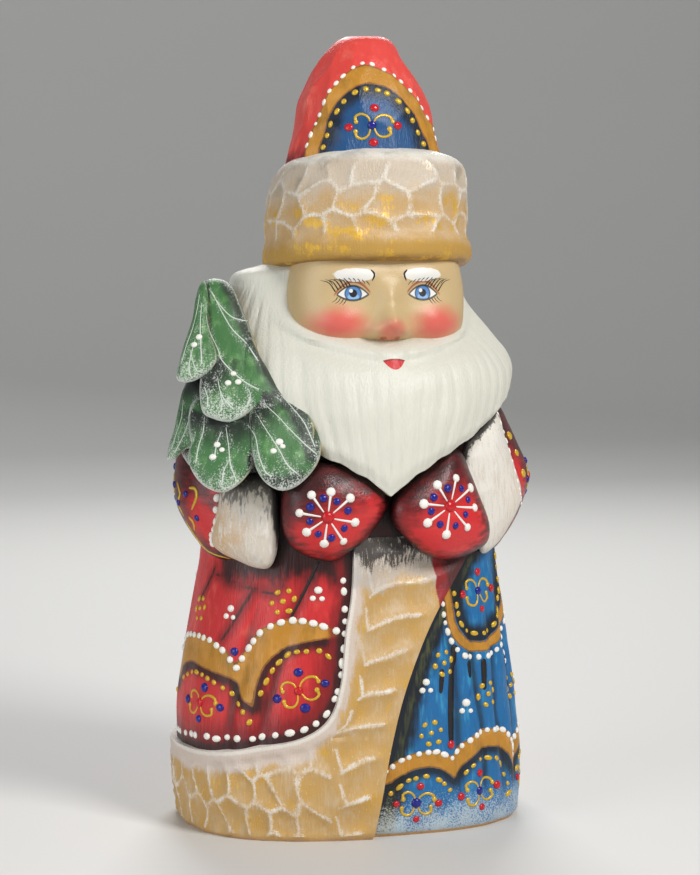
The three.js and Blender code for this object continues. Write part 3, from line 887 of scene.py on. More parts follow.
@dataclass(frozen=True)
class Face:
    """A doll-like face on even thirds."""

    side: Path = (
        (0, 129), (10, 128.4), (16.5, 125), (19, 118.5), (19.6, 112), (18.8, 106.5), (15, 102.4),
        (8, 100.4),
    )
    low: float = 99.8

    def relief(self, across: Points, height: Points, tall: Points) -> Points:
        """The carving, in units forwards of an even mask."""
        x, z = across - HEAD_X, height
        s = np.abs(x)
        nose = 4.7 * bell(x / 3.2) * bell((z - NOSE_BASE_Z - 2.4) / 3.1)
        bridge = 1.8 * bell(x / 2.4) * ease((z - NOSE_BASE_Z - 1) / 4) * ease((BROW_Z + 1 - z) / 5)
        wings = 1.7 * bell((s - 3.5) / 1.6) * bell((z - NOSE_BASE_Z - 1.5) / 1.7)
        cheeks = 1.7 * bell((s - EYE_X * 1.45) / 5) * bell((z - NOSE_BASE_Z - 2.8) / 3.8)
        sockets = -1.1 * bell((s - EYE_X) / 4.2) * bell((z - EYE_Z - 0.6) / 2.8)
        lids = 0.5 * bell((s - EYE_X) / 2.7) * bell((z - EYE_Z) / 1.7)
        brows = 0.7 * bell((s - EYE_X) / 5) * bell((z - BROW_Z - 0.8) / 1.9)
        return nose + bridge + wings + cheeks + sockets + lids + brows

    def build(self, finishes: "Finishes") -> Forms:
        """Carves the face, as a list of one object."""
        right = tuple((HEAD_X + x, z) for x, z in self.side)
        left = tuple((HEAD_X - x, z) for x, z in self.side[:0:-1])
        mask = Lump((*right, (HEAD_X, self.low), *left), 11.5, (0, 0.05), 13, 6, 2.5, 0.0)
        return [painted(mask.carve("face", 132, 96, self.relief), finishes.skin)]


@dataclass(frozen=True)
class Hat:
    """The tall hat and its broad fur band."""

    scoops: KnifeScoops = KnifeScoops(
        wide=7.4, high=6.6, depth=0.55, low=123.3, round=136.0, jitter=0.3, seed=21)
    facets: KnifeScoops = KnifeScoops(
        wide=8.5, high=13.0, depth=0.6, low=136.0, round=95.0, jitter=0.3, seed=13)
    dome_columns: int = 120
    dome_rows: int = 40
    band_columns: int = 220
    band_rows: int = 46

    def band_work(self, turn: Points, z: Points) -> Cuts:
        """The gouge's work on the band."""
        around = turn * self.scoops.round / (2 * math.pi)
        cuts = self.scoops.read(around + 0.5 * np.sin(z * 0.7 + turn * 5), z + 0.5 * np.sin(turn * 11))
        return cuts.faded(ease((z - 124.4) / 2.0) * ease((142.4 - z) / 2.5))

    def build(self, finishes: "Finishes") -> Forms:
        """Carves the dome and the band.

        Args:
            finishes: The paints.

        Returns:
            Their objects.
        """
        def dome_skin(turn: Points, share: Points) -> Points:
            """The dome's points."""
            z = mix(HAT_RINGS.rows[0][0], HAT_RINGS.rows[-1][0], share)
            plain = HAT_RINGS.point(turn, z)
            cut = self.facets.read(turn * self.facets.round / (2 * math.pi), z).depth
            shallow = ease((UNITS_HIGH - z) / 8)
            return HAT_RINGS.point(turn, z, 0.1 + 0.12 * unevenness(plain, 8, 6) - cut * shallow)

        def band_skin(turn: Points, share: Points) -> Points:
            """The band's points."""
            z = mix(BAND_RINGS.rows[0][0], BAND_RINGS.rows[-1][0], share)
            turn = BAND_RINGS.even_turns(turn)
            plain = BAND_RINGS.point(turn, z)
            return BAND_RINGS.point(turn, z, 0.12 * unevenness(plain, 9, 7) - self.band_work(turn, z).depth)

        dome = standing("hat_dome", self.dome_columns, self.dome_rows, dome_skin)
        band = standing("hat_band", self.band_columns, self.band_rows, band_skin)
        return [painted(dome, finishes.hat_red), painted(band, finishes.band)]


class ArmPart(Enum):
    """What an arm is made of."""

    SLEEVE = "sleeve"
    CUFF = "cuff"
    MITTEN = "mitten"


@dataclass(frozen=True)
class Arms:
    """Each arm's sleeve, fur cuff and mitten."""

    parts: tuple[tuple[ArmPart, str, Lump], ...] = (
        (ArmPart.SLEEVE, "sleeve_right", Lump((
            (-24.2, 93.7), (-31.3, 92.4), (-35.4, 87.7), (-37.4, 81.2), (-38.1, 74.6), (-37.5, 69.6),
            (-36.0, 66.4), (-33.2, 62.4), (-30.0, 59.1), (-24.3, 58.1), (-19.1, 63.7), (-16.9, 74.6),
            (-19.0, 87.7),
        ), 12, (0.35, -0.2), 11, 17, 2.3)),
        (ArmPart.CUFF, "cuff_right", Lump((
            (-27.0, 74.9), (-23.2, 77.0), (-18.6, 77.0), (-15.6, 74.5), (-15.0, 69.8), (-15.0, 64.5),
            (-15.7, 60.0), (-17.1, 57.7), (-20.1, 57.7), (-23.7, 59.0), (-27.5, 60.7), (-29.2, 62.4),
            (-29.2, 65.6), (-28.1, 70.2),
        ), 24, (0.3, 0), 6.5, 9, 3.2)),
        (ArmPart.MITTEN, "mitten_right", Lump((
            (-14.5, 72.4), (-13.8, 75.8), (-11.3, 78.7), (-6.7, 80.6), (-1.0, 79.8), (4.2, 77.2),
            (7.8, 74.3), (8.2, 71.1), (6.5, 67.7), (3.4, 63.9), (0.0, 61.2), (-3.8, 59.3), (-8.4, 60.1),
            (-12.2, 62.5), (-14.3, 66.0),
        ), 27.5, (-0.15, 0.05), 8, 9, 2.3)),
        (ArmPart.SLEEVE, "sleeve_left", Lump((
            (26.5, 91.0), (32.5, 90.1), (35.2, 85.6), (37.4, 80.8), (39.0, 77.2), (39.5, 73.9),
            (38.8, 70.3), (37.1, 66.1), (34.2, 61.6), (31.1, 58.7), (26.2, 62.0), (22.6, 71.0),
            (23.0, 84.3),
        ), -3, (-0.5, -0.2), 13, 13, 2.3)),
        (ArmPart.CUFF, "cuff_left", Lump((
            (24.7, 82.7), (28.2, 86.6), (31.7, 89.5), (33.9, 83.2), (35.8, 77.7), (37.4, 72.7),
            (37.2, 69.0), (35.0, 64.8), (32.0, 60.9), (28.6, 59.0), (26.6, 63.7), (24.8, 71.8),
            (23.6, 77.5),
        ), 8.5, (-0.9, -0.1), 7.5, 9, 2.9)),
        (ArmPart.MITTEN, "mitten_left", Lump((
            (8.5, 71.0), (11.0, 75.0), (15.9, 79.1), (21.2, 82.3), (23.5, 81.8), (25.7, 77.2),
            (28.0, 71.6), (30.0, 65.6), (29.5, 62.0), (26.8, 60.1), (23.0, 58.8), (18.7, 59.0),
            (14.9, 60.7), (11.0, 64.6), (8.7, 68.0),
        ), 20.5, (-0.5, 0), 8, 9, 2.3)),
    )
    columns: int = 84
    rows: int = 44

    def build(self, finishes: "Finishes") -> Forms:
        """Carves the arms.

        Args:
            finishes: The paints.

        Returns:
            The objects of their parts.
        """
        looks = {
            ArmPart.SLEEVE: (finishes.sleeve_red, 0.25),
            ArmPart.CUFF: (finishes.cuff, 0.4),
            ArmPart.MITTEN: (finishes.mitten_red, 0.1),
        }
        made = []
        for number, (part, name, lump) in enumerate(self.parts):
            paint, depth = looks[part]
            cuts = KnifeScoops(wide=6.5, high=6.5, depth=depth, seed=40 + number, jitter=0.32)
            relief = knife_relief(0.12, 8, 50 + number, cuts)
            made.append(painted(lump.carve(name, self.columns, self.rows, relief), paint))
        return made


BOUGH_FRONT = 3.2
BOUGH_BACK = 7.0
BOUGH_SQUARENESS = 2.7


def bough(outline: Path, depth: float, lean: Pair) -> Lump:
    """A bough of the fir tree, like a broad shingle."""
    return Lump(outline, depth, lean, BOUGH_FRONT, BOUGH_BACK, BOUGH_SQUARENESS)


@dataclass(frozen=True)
class FirTree:
    """A little fir tree: boughs round a trunk, each lower tier tucked under the one above."""

    trunk: Lump = Lump((
        (-29.4, 113.8), (-32.9, 107.4), (-34.6, 98.9), (-36.8, 90.3), (-37.2, 83.9), (-33.2, 77.4),
        (-25.7, 75.7), (-17.1, 75.7), (-9.4, 77.8), (-8.1, 83.9), (-11.1, 91.4), (-18.8, 98.4),
        (-21.8, 106.4), (-25.1, 113.8),
    ), 13.5, (0.1, -0.3), 10.5, 13, 2.3)
    crown: Lump = Lump((
        (-32.0, 113.5), (-33.4, 108), (-34.2, 100), (-28, 95.5), (-20.5, 98.5), (-21.4, 105),
        (-23.6, 112), (-27.5, 115.8),
    ), 14.6, (0.3, -0.4), 9, 14, 2.4)
    # The upper left leaf, the long leaf that ends in the middle tier, and the lower tier behind and below.
    boughs: tuple[Lump, ...] = (
        bough((
            (-30.9, 118.1), (-31.9, 117.0), (-32.7, 114.1), (-33.2, 110.3), (-34.9, 104.9), (-36.2, 99.8),
            (-36.3, 97.7), (-35.0, 97.0), (-33.4, 97.1), (-31.6, 97.8), (-29.9, 99.0), (-27.9, 101.4),
            (-28.3, 104.4), (-29.2, 106.9), (-29.7, 110.0), (-29.9, 114.6),
        ), 24.4, (0.35, -0.5)),
        bough((
            (-31.0, 117.2), (-30.2, 118.2), (-27.2, 118.2), (-24.9, 116.6), (-23.1, 112.6), (-21.0, 107.8),
            (-19.4, 103.6), (-18.2, 98.7), (-18.1, 95.4), (-18.9, 93.3), (-20.6, 91.2), (-23.1, 89.6),
            (-25.4, 89.0), (-28.4, 89.6), (-30.6, 90.8), (-31.4, 94.2), (-31.4, 98.0), (-31.2, 102.0),
            (-31.4, 106.5), (-31.6, 112.0),
        ), 25.0, (0.0, -0.5)),
        bough((
            (-21.2, 106.5), (-18.7, 102.0), (-15.3, 97.6), (-12.1, 93.9), (-10.6, 90.1), (-12.8, 88.4),
            (-17.0, 89.5), (-20.8, 92.7), (-22.5, 99.1),
        ), 27.5, (-0.3, -0.4)),
        bough((
            (-32.7, 98.7), (-35.2, 95.6), (-36.4, 91.0), (-37.3, 86.6), (-38.5, 82.8), (-38.7, 80.2),
            (-37.2, 80.4), (-34.6, 82.7), (-31.6, 83.3), (-28.6, 88.0), (-28.4, 96.0),
        ), 22.8, (0.75, -0.35)),
        bough((
            (-33.0, 93.0), (-33.6, 86.0), (-31.0, 81.0), (-25.0, 79.8), (-20.2, 81.6), (-14.0, 80.0),
            (-8.4, 83.0), (-7.4, 88.0), (-9.4, 92.0), (-14.0, 95.0), (-25.0, 95.0),
        ), 30.2, (0.14, -0.45)),
        bough((
            (-31.2, 93.6), (-31.4, 88.4), (-33.2, 84.4), (-33.8, 81.2), (-32.3, 77.8), (-29.6, 75.4),
            (-26.3, 74.6), (-23.4, 76.0), (-21.2, 78.2), (-20.0, 80.4), (-19.6, 84.1), (-20.8, 89.4),
            (-23.3, 93.1), (-27.5, 94.8),
        ), 30.5, (0.15, -0.45)),
        bough((
            (-20.8, 91.5), (-20.6, 86.2), (-20.2, 82.4), (-19.2, 79.2), (-17.2, 76.6), (-14.2, 75.2),
            (-11.4, 75.8), (-8.4, 78.2), (-6.5, 81.0), (-5.9, 84.4), (-6.7, 88.1), (-9.2, 92.6),
            (-13.2, 95.6), (-17.5, 94.4),
        ), 32.5, (-0.15, -0.45)),
    )
    columns: int = 64
    rows: int = 36

    def build(self, finishes: "Finishes") -> Forms:
        """Carves the tree.

        Args:
            finishes: The paints.

        Returns:
            The objects of its parts.
        """
        made = [self.trunk.carve("fir_trunk", 56, 30), self.crown.carve("fir_crown", 48, 26)]
        for number, lump in enumerate(self.boughs):
            relief = knife_relief(0.14, 6, 70 + number)
            made.append(lump.carve(f"bough_{number + 1}", self.columns, self.rows, relief))
        return [painted(piece, finishes.fir_green) for piece in made]


Colour = tuple[float, float, float, float]


def tone(red: int, green: int, blue: int) -> Colour:
    """A paint's colour as the shaders want it, from the usual 0 to 255 mix."""
    parts = [v / 255 for v in (red, green, blue)]
    return (*(v / 12.92 if v <= 0.04045 else ((v + 0.055) / 1.055) ** 2.4 for v in parts), 1.0)


class Wire:
    """A number that runs through a material's nodes, with arithmetic."""

    def __init__(self, tree: bpy.types.NodeTree, socket: bpy.types.NodeSocket) -> None:
        """Holds a socket of a tree."""
        self.tree = tree
        self.socket = socket

    def math(self, operation: str, *others: "Wire | float") -> "Wire":
        """The result of a Math node that starts with this wire."""
        node = self.tree.nodes.new("ShaderNodeMath")
        node.operation = operation
        for slot, value in zip(node.inputs, (self, *others)):
            if isinstance(value, Wire):
                self.tree.links.new(value.socket, slot)
            else:
                slot.default_value = value
        return Wire(self.tree, node.outputs[0])

    def __add__(self, other: "Wire | float") -> "Wire":
        """The sum."""
        return self.math("ADD", other)

    def __sub__(self, other: "Wire | float") -> "Wire":
        """The difference."""
        return self.math("SUBTRACT", other)

    def __mul__(self, other: "Wire | float") -> "Wire":
        """The product."""
        return self.math("MULTIPLY", other)

    def under(self, other: "Wire | float") -> "Wire":
        """The smaller of the two."""
        return self.math("MINIMUM", other)

    def squared(self) -> "Wire":
        """The square."""
        return self.math("POWER", 2.0)

    def size(self) -> "Wire":
        """The value without its sign."""
        return self.math("ABSOLUTE")

    def step(self, low: float, high: float) -> "Wire":
        """A smooth step from 0 at low to 1 at high, which may be the smaller one."""
        node = self.tree.nodes.new("ShaderNodeMapRange")
        node.interpolation_type = "SMOOTHSTEP"
        turned = high < low
        values = (high, low, 1.0, 0.0) if turned else (low, high, 0.0, 1.0)
        for slot, value in zip(node.inputs[1:5], values):
            slot.default_value = value
        self.tree.links.new(self.socket, node.inputs[0])
        return Wire(self.tree, node.outputs[0])


class Paint:
    """A finish that is painted in coats over a ground colour."""

    def __init__(self, name: str, ground: Colour) -> None:
        """Starts a material with its ground.

        Args:
            name: The material's name.
            ground: The colour under all the coats.
        """
        self.material = bpy.data.materials.new(name)
        self.material.use_nodes = True
        self.tree = self.material.node_tree
        self.shader = next(n for n in self.tree.nodes if n.type == "BSDF_PRINCIPLED")
        self.shader.inputs["Base Color"].default_value = ground
        self.ground = ground
        self.colour: bpy.types.NodeSocket | None = None
        self.places = self.tree.nodes.new("ShaderNodeTexCoord").outputs["Object"]

    def mark(self, name: str) -> Wire:
        """A number that the mesh carries at its points."""
        node = self.tree.nodes.new("ShaderNodeAttribute")
        node.attribute_name = name
        return Wire(self.tree, node.outputs["Fac"])

    def mapped(self, size: Sequence[float], shift: Sequence[float] = (0, 0, 0)) -> bpy.types.NodeSocket:
        """Object coordinates in lengths of size along each axis, shifted."""
        node = self.tree.nodes.new("ShaderNodeMapping")
        node.inputs["Scale"].default_value = [1 / (UNIT * s) for s in size]
        node.inputs["Location"].default_value = shift
        self.tree.links.new(self.places, node.inputs["Vector"])
        return node.outputs["Vector"]

    def axes(self) -> tuple[Wire, Wire, Wire]:
        """Object coordinates in units, one wire each."""
        node = self.tree.nodes.new("ShaderNodeSeparateXYZ")
        self.tree.links.new(self.mapped((1, 1, 1)), node.inputs[0])
        return tuple(Wire(self.tree, out) for out in node.outputs)

    def noise(self, size: Sequence[float], seed: int, detail: float = 2.0, rough: float = 0.5) -> Wire:
        """Cloudy noise about 0, from -0.5 to 0.5, whose spots have a size along each axis."""
        node = self.tree.nodes.new("ShaderNodeTexNoise")
        node.inputs["Scale"].default_value = 1.0
        node.inputs["Detail"].default_value = detail
        node.inputs["Roughness"].default_value = rough
        self.tree.links.new(self.mapped(size, (seed * 7.3, seed * 3.1, seed * 5.7)), node.inputs["Vector"])
        return Wire(self.tree, node.outputs[0]) - 0.5

    def coat(self, colour: Colour, mask: Wire) -> None:
        """Paints a colour over what is there, where the mask is up."""
        node = self.tree.nodes.new("ShaderNodeMix")
        node.data_type = "RGBA"
        node.clamp_factor = True
        factor, first, second = node.inputs[0], node.inputs[6], node.inputs[7]
        self.tree.links.new(mask.socket, factor)
        if self.colour is None:
            first.default_value = self.ground
        else:
            self.tree.links.new(self.colour, first)
        second.default_value = colour
        self.colour = node.outputs[2]

    def daub(self, colour: Colour, field: Wire, low: float, high: float, strength: float = 1.0) -> None:
        """Paints a colour where a field passes from low to high, which may be the smaller one."""
        self.coat(colour, field.step(low, high) * strength)

    def ridge(self) -> Wire:
        """How far a point lies from the nearest ridge between two cuts, in units."""
        ridges = self.mark("ridge_up").size().under(self.mark("ridge_along").size())
        return ridges + self.mark("calm") * 1.5

    def done(
        self, roughness: Wire | float, relief: Wire | None = None, height: float = 0.1,
        gilt: Wire | None = None
    ) -> Material:
        """Ends the finish.

        Args:
            roughness: How dull the varnish is.
            relief: The surface's small relief, or None.
            height: The relief's height in units for a step of 1.
            gilt: Where the paint is metallic, or None.

        Returns:
            The material.
        """
        if self.colour is not None:
            self.tree.links.new(self.colour, self.shader.inputs["Base Color"])
        if isinstance(roughness, Wire):
            self.tree.links.new(roughness.socket, self.shader.inputs["Roughness"])
        else:
            self.shader.inputs["Roughness"].default_value = roughness
        if gilt is not None:
            self.tree.links.new(gilt.socket, self.shader.inputs["Metallic"])
        if relief is not None:
            bump = self.tree.nodes.new("ShaderNodeBump")
            bump.inputs["Distance"].default_value = height * UNIT
            self.tree.links.new(relief.socket, bump.inputs["Height"])
            self.tree.links.new(bump.outputs[0], self.shader.inputs["Normal"])
        return self.material


# Brush strokes and the wood's grain run up and down.
STROKE = (0.8, 0.8, 7.0)
GRAIN = (0.35, 0.35, 5.0)
SPECK = (0.32, 0.32, 0.32)
BLOT = (5.0, 5.0, 5.0)
FLECK = (1.1, 1.1, 1.1)


@dataclass(frozen=True)
class Gold:
    """Bands of ochre and gold paint with a dark outline."""

    ochre: Colour = tone(190, 132, 38)
    light: Colour = tone(212, 152, 72)
    olive: Colour = tone(150, 110, 36)
    line: Colour = tone(70, 36, 18)

    def band(self, paint: Paint, below_top: Wire, above_low: Wire) -> Wire:
        """Paints a band.

        Args:
            paint: The finish that gets it.
            below_top: How far a point lies below the band's upper edge.
            above_low: How far it lies above the lower edge.

        Returns:
            The band's mask.
        """
        inside = below_top.under(above_low) + paint.noise(FLECK, 31) * 0.5
        mask = inside.step(-0.15, 0.12)
        paint.coat(self.ochre, mask)
        paint.coat(self.light, mask.under((paint.noise((4.0, 4.0, 5.0), 32, 3) * 2.4).step(-0.1, 0.6)) * 0.7)
        paint.coat(self.olive, mask.under((paint.noise((3.5, 3.5, 5.0), 33, 3) * 2.6).step(-0.1, 0.6)) * 0.7)
        paint.coat(self.light, mask.under((paint.noise((0.9, 0.9, 5.0), 34, 3) * 2.6).step(0.1, 0.7)) * 0.5)
        paint.coat(self.line, mask.under(inside.step(0.4, 0.05)) * 0.7)
        return mask


@dataclass(frozen=True)
class CoatRed:
    """The red coat: brushed red with a gold band and dark lobes under it, and painted shade in the hollows
    and folds.
    """

    red: Colour = tone(206, 44, 46)
    deep: Colour = tone(132, 20, 24)
    bright: Colour = tone(236, 98, 84)
    dark: Colour = tone(32, 12, 12)

    def make(self) -> Material:
        """Makes the material."""
        paint = Paint("coat_red", self.red)
        strokes = paint.noise(STROKE, 1, 3)
        blots = paint.noise(BLOT, 2, 3)
        x, y, z = paint.axes()
        chain, gold, edge = paint.mark("chain"), paint.mark("gold"), paint.mark("edge")
        hollow_shade, fold, crease = paint.mark("hollow_shade"), paint.mark("fold"), paint.mark("crease")
        # Painted shade under the arms and mittens, on the front only.
        shade_under_arms = z - y.step(-13, 5) * 50
        paint.daub(self.bright, strokes * 1.2 + blots * 1.8, 0.0, 0.7, 0.75)
        paint.daub(self.deep, strokes * 1.0 - blots * 1.8, 0.1, 0.7, 0.6)
        # Painted shade in the carved folds, and beside the shaded fold lines.
        paint.daub(self.dark, fold + strokes * 0.5, 0.45, 1.0, 0.7)
        paint.daub(self.deep, crease + strokes * 1.4, 2.4, 0.3, 0.75)
        paint.daub(self.dark, crease + strokes * 0.5, 0.55, 0.1, 0.85)
        paint.daub(self.deep, shade_under_arms + strokes * 5 + blots * 12, 51.0, 55.5, 0.85)
        paint.daub(self.dark, shade_under_arms + strokes * 4 + blots * 9, 53.5, 57.0, 0.9)
        lobe = gold.step(0.2, -0.2)
        paint.coat(self.deep, lobe.under((edge + strokes * 4).step(8.0, 2.5)) * 0.9)
        paint.coat(self.dark, lobe.under((gold + blots * 2.2 + strokes * 1.2).step(-3.4, -0.9)) * 0.94)
        Gold().band(paint, chain * -1 + 0.4, gold)
        # Painted shade along the fur's raised edge.
        paint.daub(self.deep, edge + strokes * 3 + blots * 4, 4.5, 2.5, 0.8)
        paint.daub(self.dark, edge + strokes * 1.6 + blots * 1.4, 2.6, 1.0, 0.9)
        # Painted shade in the hollows.
        paint.daub(self.dark, hollow_shade + strokes * 0.35 + blots * 0.35, 0.28, 0.6, 0.93)
        relief = paint.noise(GRAIN, 4, 3) + strokes * 0.8
        return paint.done(paint.noise(FLECK, 5) * 0.2 + 0.4, relief, 0.12)


@dataclass(frozen=True)
class RobeBlue:
    """The blue robe: brushed blue with gold bands and dark lobes, painted shade in the folds, frosted at the
    foot.
    """

    blue: Colour = tone(22, 104, 162)
    light: Colour = tone(60, 158, 204)
    deep: Colour = tone(10, 50, 86)
    dark: Colour = tone(10, 13, 18)
    olive: Colour = tone(112, 116, 56)
    frost: Colour = tone(202, 210, 208)

    def make(self) -> Material:
        """Makes the material."""
        paint = Paint("robe_blue", self.blue)
        strokes = paint.noise(STROKE, 11, 3)
        blots = paint.noise(BLOT, 12, 3)
        specks = paint.noise(SPECK, 13, 4, 0.7)
        z = paint.axes()[2]
        chain, gold, edge = paint.mark("chain"), paint.mark("gold"), paint.mark("edge")
        low, high = paint.mark("bowl_low"), paint.mark("bowl_high")
        hollow_shade, fold = paint.mark("hollow_shade"), paint.mark("fold")
        paint.daub(self.light, strokes * 2.0 + blots * 1.6, -0.05, 0.75, 0.8)
        paint.daub(self.deep, strokes * 1.6 - blots * 1.6, 0.1, 0.7, 0.6)
        # Painted shade in the carved folds.
        paint.daub(self.dark, fold + strokes * 0.7, 0.55, 1.1, 0.8)
        lobe = gold.step(0.2, -0.2)
        cold = specks * 3.2 + z.step(17.0, 0.5) * 1.3 + blots * 0.9
        # Painted shade along the fur's raised edge, with an olive streak in it.
        border = edge + strokes * 2.4
        paint.daub(self.dark, border + blots * 4, 6.8, 3.6, 0.97)
        streak = border.step(1.6, 2.4).under(border.step(3.8, 3.0))
        paint.coat(self.olive, streak.under((blots + strokes).step(-0.25, 0.3)) * 0.5)
        paint.coat(self.dark, lobe.under((gold + blots * 2 + strokes).step(-3.0, -0.8)) * 0.92)
        paint.coat(self.dark, high.step(-0.1, 0.4).under((high + strokes + blots * 3).step(5.0, 2.4)) * 0.94)
        Gold().band(paint, chain * -1 + 0.4, gold)
        Gold().band(paint, high * -1, low)
        paint.coat(self.frost, cold.step(0.8, 1.4).under(lobe) * 0.75)
        # Painted shade in the hollows.
        paint.daub(self.dark, hollow_shade + strokes * 0.35 + blots * 0.35, 0.28, 0.6, 0.93)
        relief = paint.noise(GRAIN, 14, 3) + strokes * 0.8
        return paint.done(paint.noise(FLECK, 15) * 0.2 + 0.4, relief, 0.12)


@dataclass(frozen=True)
class FurOchre:
    """Fur trim in ochre, with white dragged over the ridges and gold rubbed into some hollows."""

    ochre: Colour = tone(196, 158, 98)
    gold: Colour = tone(204, 156, 62)
    beige: Colour = tone(206, 182, 148)
    gilt: Colour = tone(224, 176, 60)
    white: Colour = tone(232, 226, 216)
    margin: Colour = tone(212, 198, 188)
    pale: Colour = tone(188, 182, 176)
    grey: Colour = tone(44, 38, 36)
    red: Colour = tone(150, 30, 34)

    def make(self) -> Material:
        """Makes the material."""
        paint = Paint("fur_ochre", self.ochre)
        patches = paint.noise(BLOT, 21, 2)
        specks = paint.noise(SPECK, 22, 3)
        strokes = paint.noise((0.45, 0.45, 3.5), 23, 3)
        flecks = paint.noise(FLECK, 26)
        x, y, z = paint.axes()
        strip = x.step(-13.5, -10.5).under(y.step(-14, -18))
        ridge, edge, hollow_shade = paint.ridge(), paint.mark("edge"), paint.mark("hollow_shade")
        paint.daub(self.gold, patches * 2 + strokes, -0.1, 0.6, 0.8)
        paint.daub(self.beige, patches * -2.2 + strokes, -0.1, 0.7, 0.8)
        gilt = (paint.noise((3.5, 3.5, 4.5), 25) * 3 + strokes * 1.5).step(0.3, 0.8)
        paint.coat(self.gilt, gilt * 0.6)
        paint.daub(self.white, specks * 1.7 + strokes * 1.6 + patches, 0.3, 0.9, 0.45)
        thin = ridge * -1 + specks * 1.1 + flecks * 0.7 + strip * 0.14
        paint.coat(self.white, thin.step(-0.62, 0.0) * (patches * 1.8 + strokes + 0.52))
        paint.daub(self.white, ridge * -0.45 + specks * 1.6 + strokes * 1.2, -0.3, 0.5, 0.5)
        hem = z.step(24, 18)
        rough = edge - hem * 2.2 + strokes * 3 + patches * 3 + specks * 1.4
        paint.daub(self.margin, rough, 3.0, 1.2, 0.9)
        paint.daub(self.white, edge + specks * 0.6, 1.0, 0.5, 0.8)
        # Painted shade at the top of the fur, under the cuffs and mittens: pale, then grey.
        paint.daub(self.pale, z + strokes * 8 + patches * 14, 52.5, 57.0, 0.8)
        paint.daub(self.grey, z + strokes * 9 + patches * 8 + specks * 6, 58.0, 60.5, 0.9)
        # Painted shade in the hollows, less on the hem.
        paint.daub(self.grey, hollow_shade - hem + strokes * 0.4 + specks * 0.3, 0.35, 0.65, 0.85)
        hairs = (strokes * -2.6 + specks * 1.2).step(0.15, 0.6)
        paint.coat(self.white, hairs.under(z.step(55.5, 58.0)) * 0.6)
        paint.daub(self.white, specks * 2 + strokes * 1.4, 0.5, 0.8, 0.35)
        # The coat's corner shows at the lapel, in red darkened as painted shade, with grey painted shade
        # beyond it under the mitten.
        lapel = paint.mark("lapel")
        paint.daub(self.red, lapel + specks * 0.3, -0.15, 0.2)
        paint.daub(self.grey, lapel + strokes * 3 + patches * 6, 0.6, 4.0, 0.8)
        relief = specks * 0.6 + paint.noise(GRAIN, 24, 3)
        return paint.done(paint.noise(FLECK, 27) * 0.2 + 0.48, relief, 0.12, gilt * 0.35)


@dataclass(frozen=True)
class HatBand:
    """The hat's fur band: the same ochre, with a white rim above and smooth gold below."""

    ochre: Colour = tone(196, 160, 108)
    beige: Colour = tone(204, 178, 142)
    mauve: Colour = tone(196, 184, 168)
    gold: Colour = tone(188, 146, 68)
    brown: Colour = tone(140, 100, 50)
    gilt: Colour = tone(228, 180, 62)
    white: Colour = tone(230, 226, 216)

    def make(self) -> Material:
        """Makes the material."""
        paint = Paint("band_fur", self.ochre)
        patches = paint.noise(BLOT, 41, 2)
        specks = paint.noise(SPECK, 42, 3)
        strokes = paint.noise((0.45, 0.45, 3.0), 43, 3)
        flecks = paint.noise(FLECK, 46)
        ridge, rise = paint.ridge(), paint.mark("rise")
        paint.daub(self.beige, patches * 2 + specks, -0.3, 0.6, 0.7)
        paint.daub(self.gold, rise + patches * 0.16, 0.26, 0.12)
        # Painted shade on the band's underside.
        paint.daub(self.brown, rise + patches * 0.05, 0.05, 0.02, 0.7)
        gilt = (paint.noise((5.0, 5.0, 3.6), 45) * 3.4 + specks * 0.8 + flecks * 0.5 + strokes).step(0.1, 0.6)
        paint.coat(self.gilt, gilt.under(rise.step(0.8, 0.6)) * 0.8)
        paint.daub(self.mauve, rise + patches * 0.4 + specks * 0.15, 0.46, 0.72, 0.85)
        paint.daub(self.white, specks * 1.8 + strokes + patches, 0.3, 0.9, 0.45)
        thin = ridge * -1 + specks * 1.2 + flecks * 0.8
        paint.coat(self.white, thin.step(-0.66, 0.0) * (patches * 2.0 + strokes + 0.46))
        paint.daub(self.white, ridge * -0.45 + specks * 1.6 + strokes * 1.2, -0.3, 0.5, 0.5)
        paint.daub(self.white, rise + patches * 0.12 + specks * 0.06, 0.84, 0.95, 0.95)
        relief = specks * 0.6 + paint.noise(GRAIN, 44, 3)
        return paint.done(paint.noise(FLECK, 47) * 0.2 + 0.48, relief, 0.12, gilt * 0.4)


@dataclass(frozen=True)
class HairWhite:
    """Cream-white hair with cream painted shade in its hollows, and a small red mouth in the beard."""

    white: Colour = tone(216, 215, 202)
    cream: Colour = tone(192, 184, 162)
    lips: Colour = tone(206, 46, 50)
    dark: Colour = tone(110, 16, 22)
    half_wide: float = 2.7

    def make(self) -> Material:
        """Makes the material."""
        paint = Paint("hair_white", self.white)
        strokes = paint.noise(STROKE, 51, 3)
        hollow_shade = paint.mark("hollow_shade")
        paint.daub(self.cream, strokes * 1.2 + paint.noise(BLOT, 52), 0.1, 1.0, 0.45)
        # Painted shade in the hollows, in cream.
        paint.daub(self.cream, hollow_shade + strokes * 0.3, 0.22, 0.7, 0.8)
        x, y, z = paint.axes()
        bow = ((x - HEAD_X) * (1 / self.half_wide)).squared()
        top = z * -1 + (MOUTH_Z + 0.15) - bow * 0.5
        low = (bow * -1 + 1) * 2.3 + (z - MOUTH_Z - 0.1)
        lips = top.under(low).step(-0.05, 0.15).under((y + 20).step(0, -1))
        paint.coat(self.lips, lips)
        paint.coat(self.dark, lips.under(top.step(0.5, 0.2)) * 0.8)
        relief = paint.noise((0.45, 0.45, 4.0), 53, 3) + paint.noise(SPECK, 54, 2) * 0.3
        return paint.done(paint.noise(FLECK, 55) * 0.15 + 0.46, relief, 0.14)


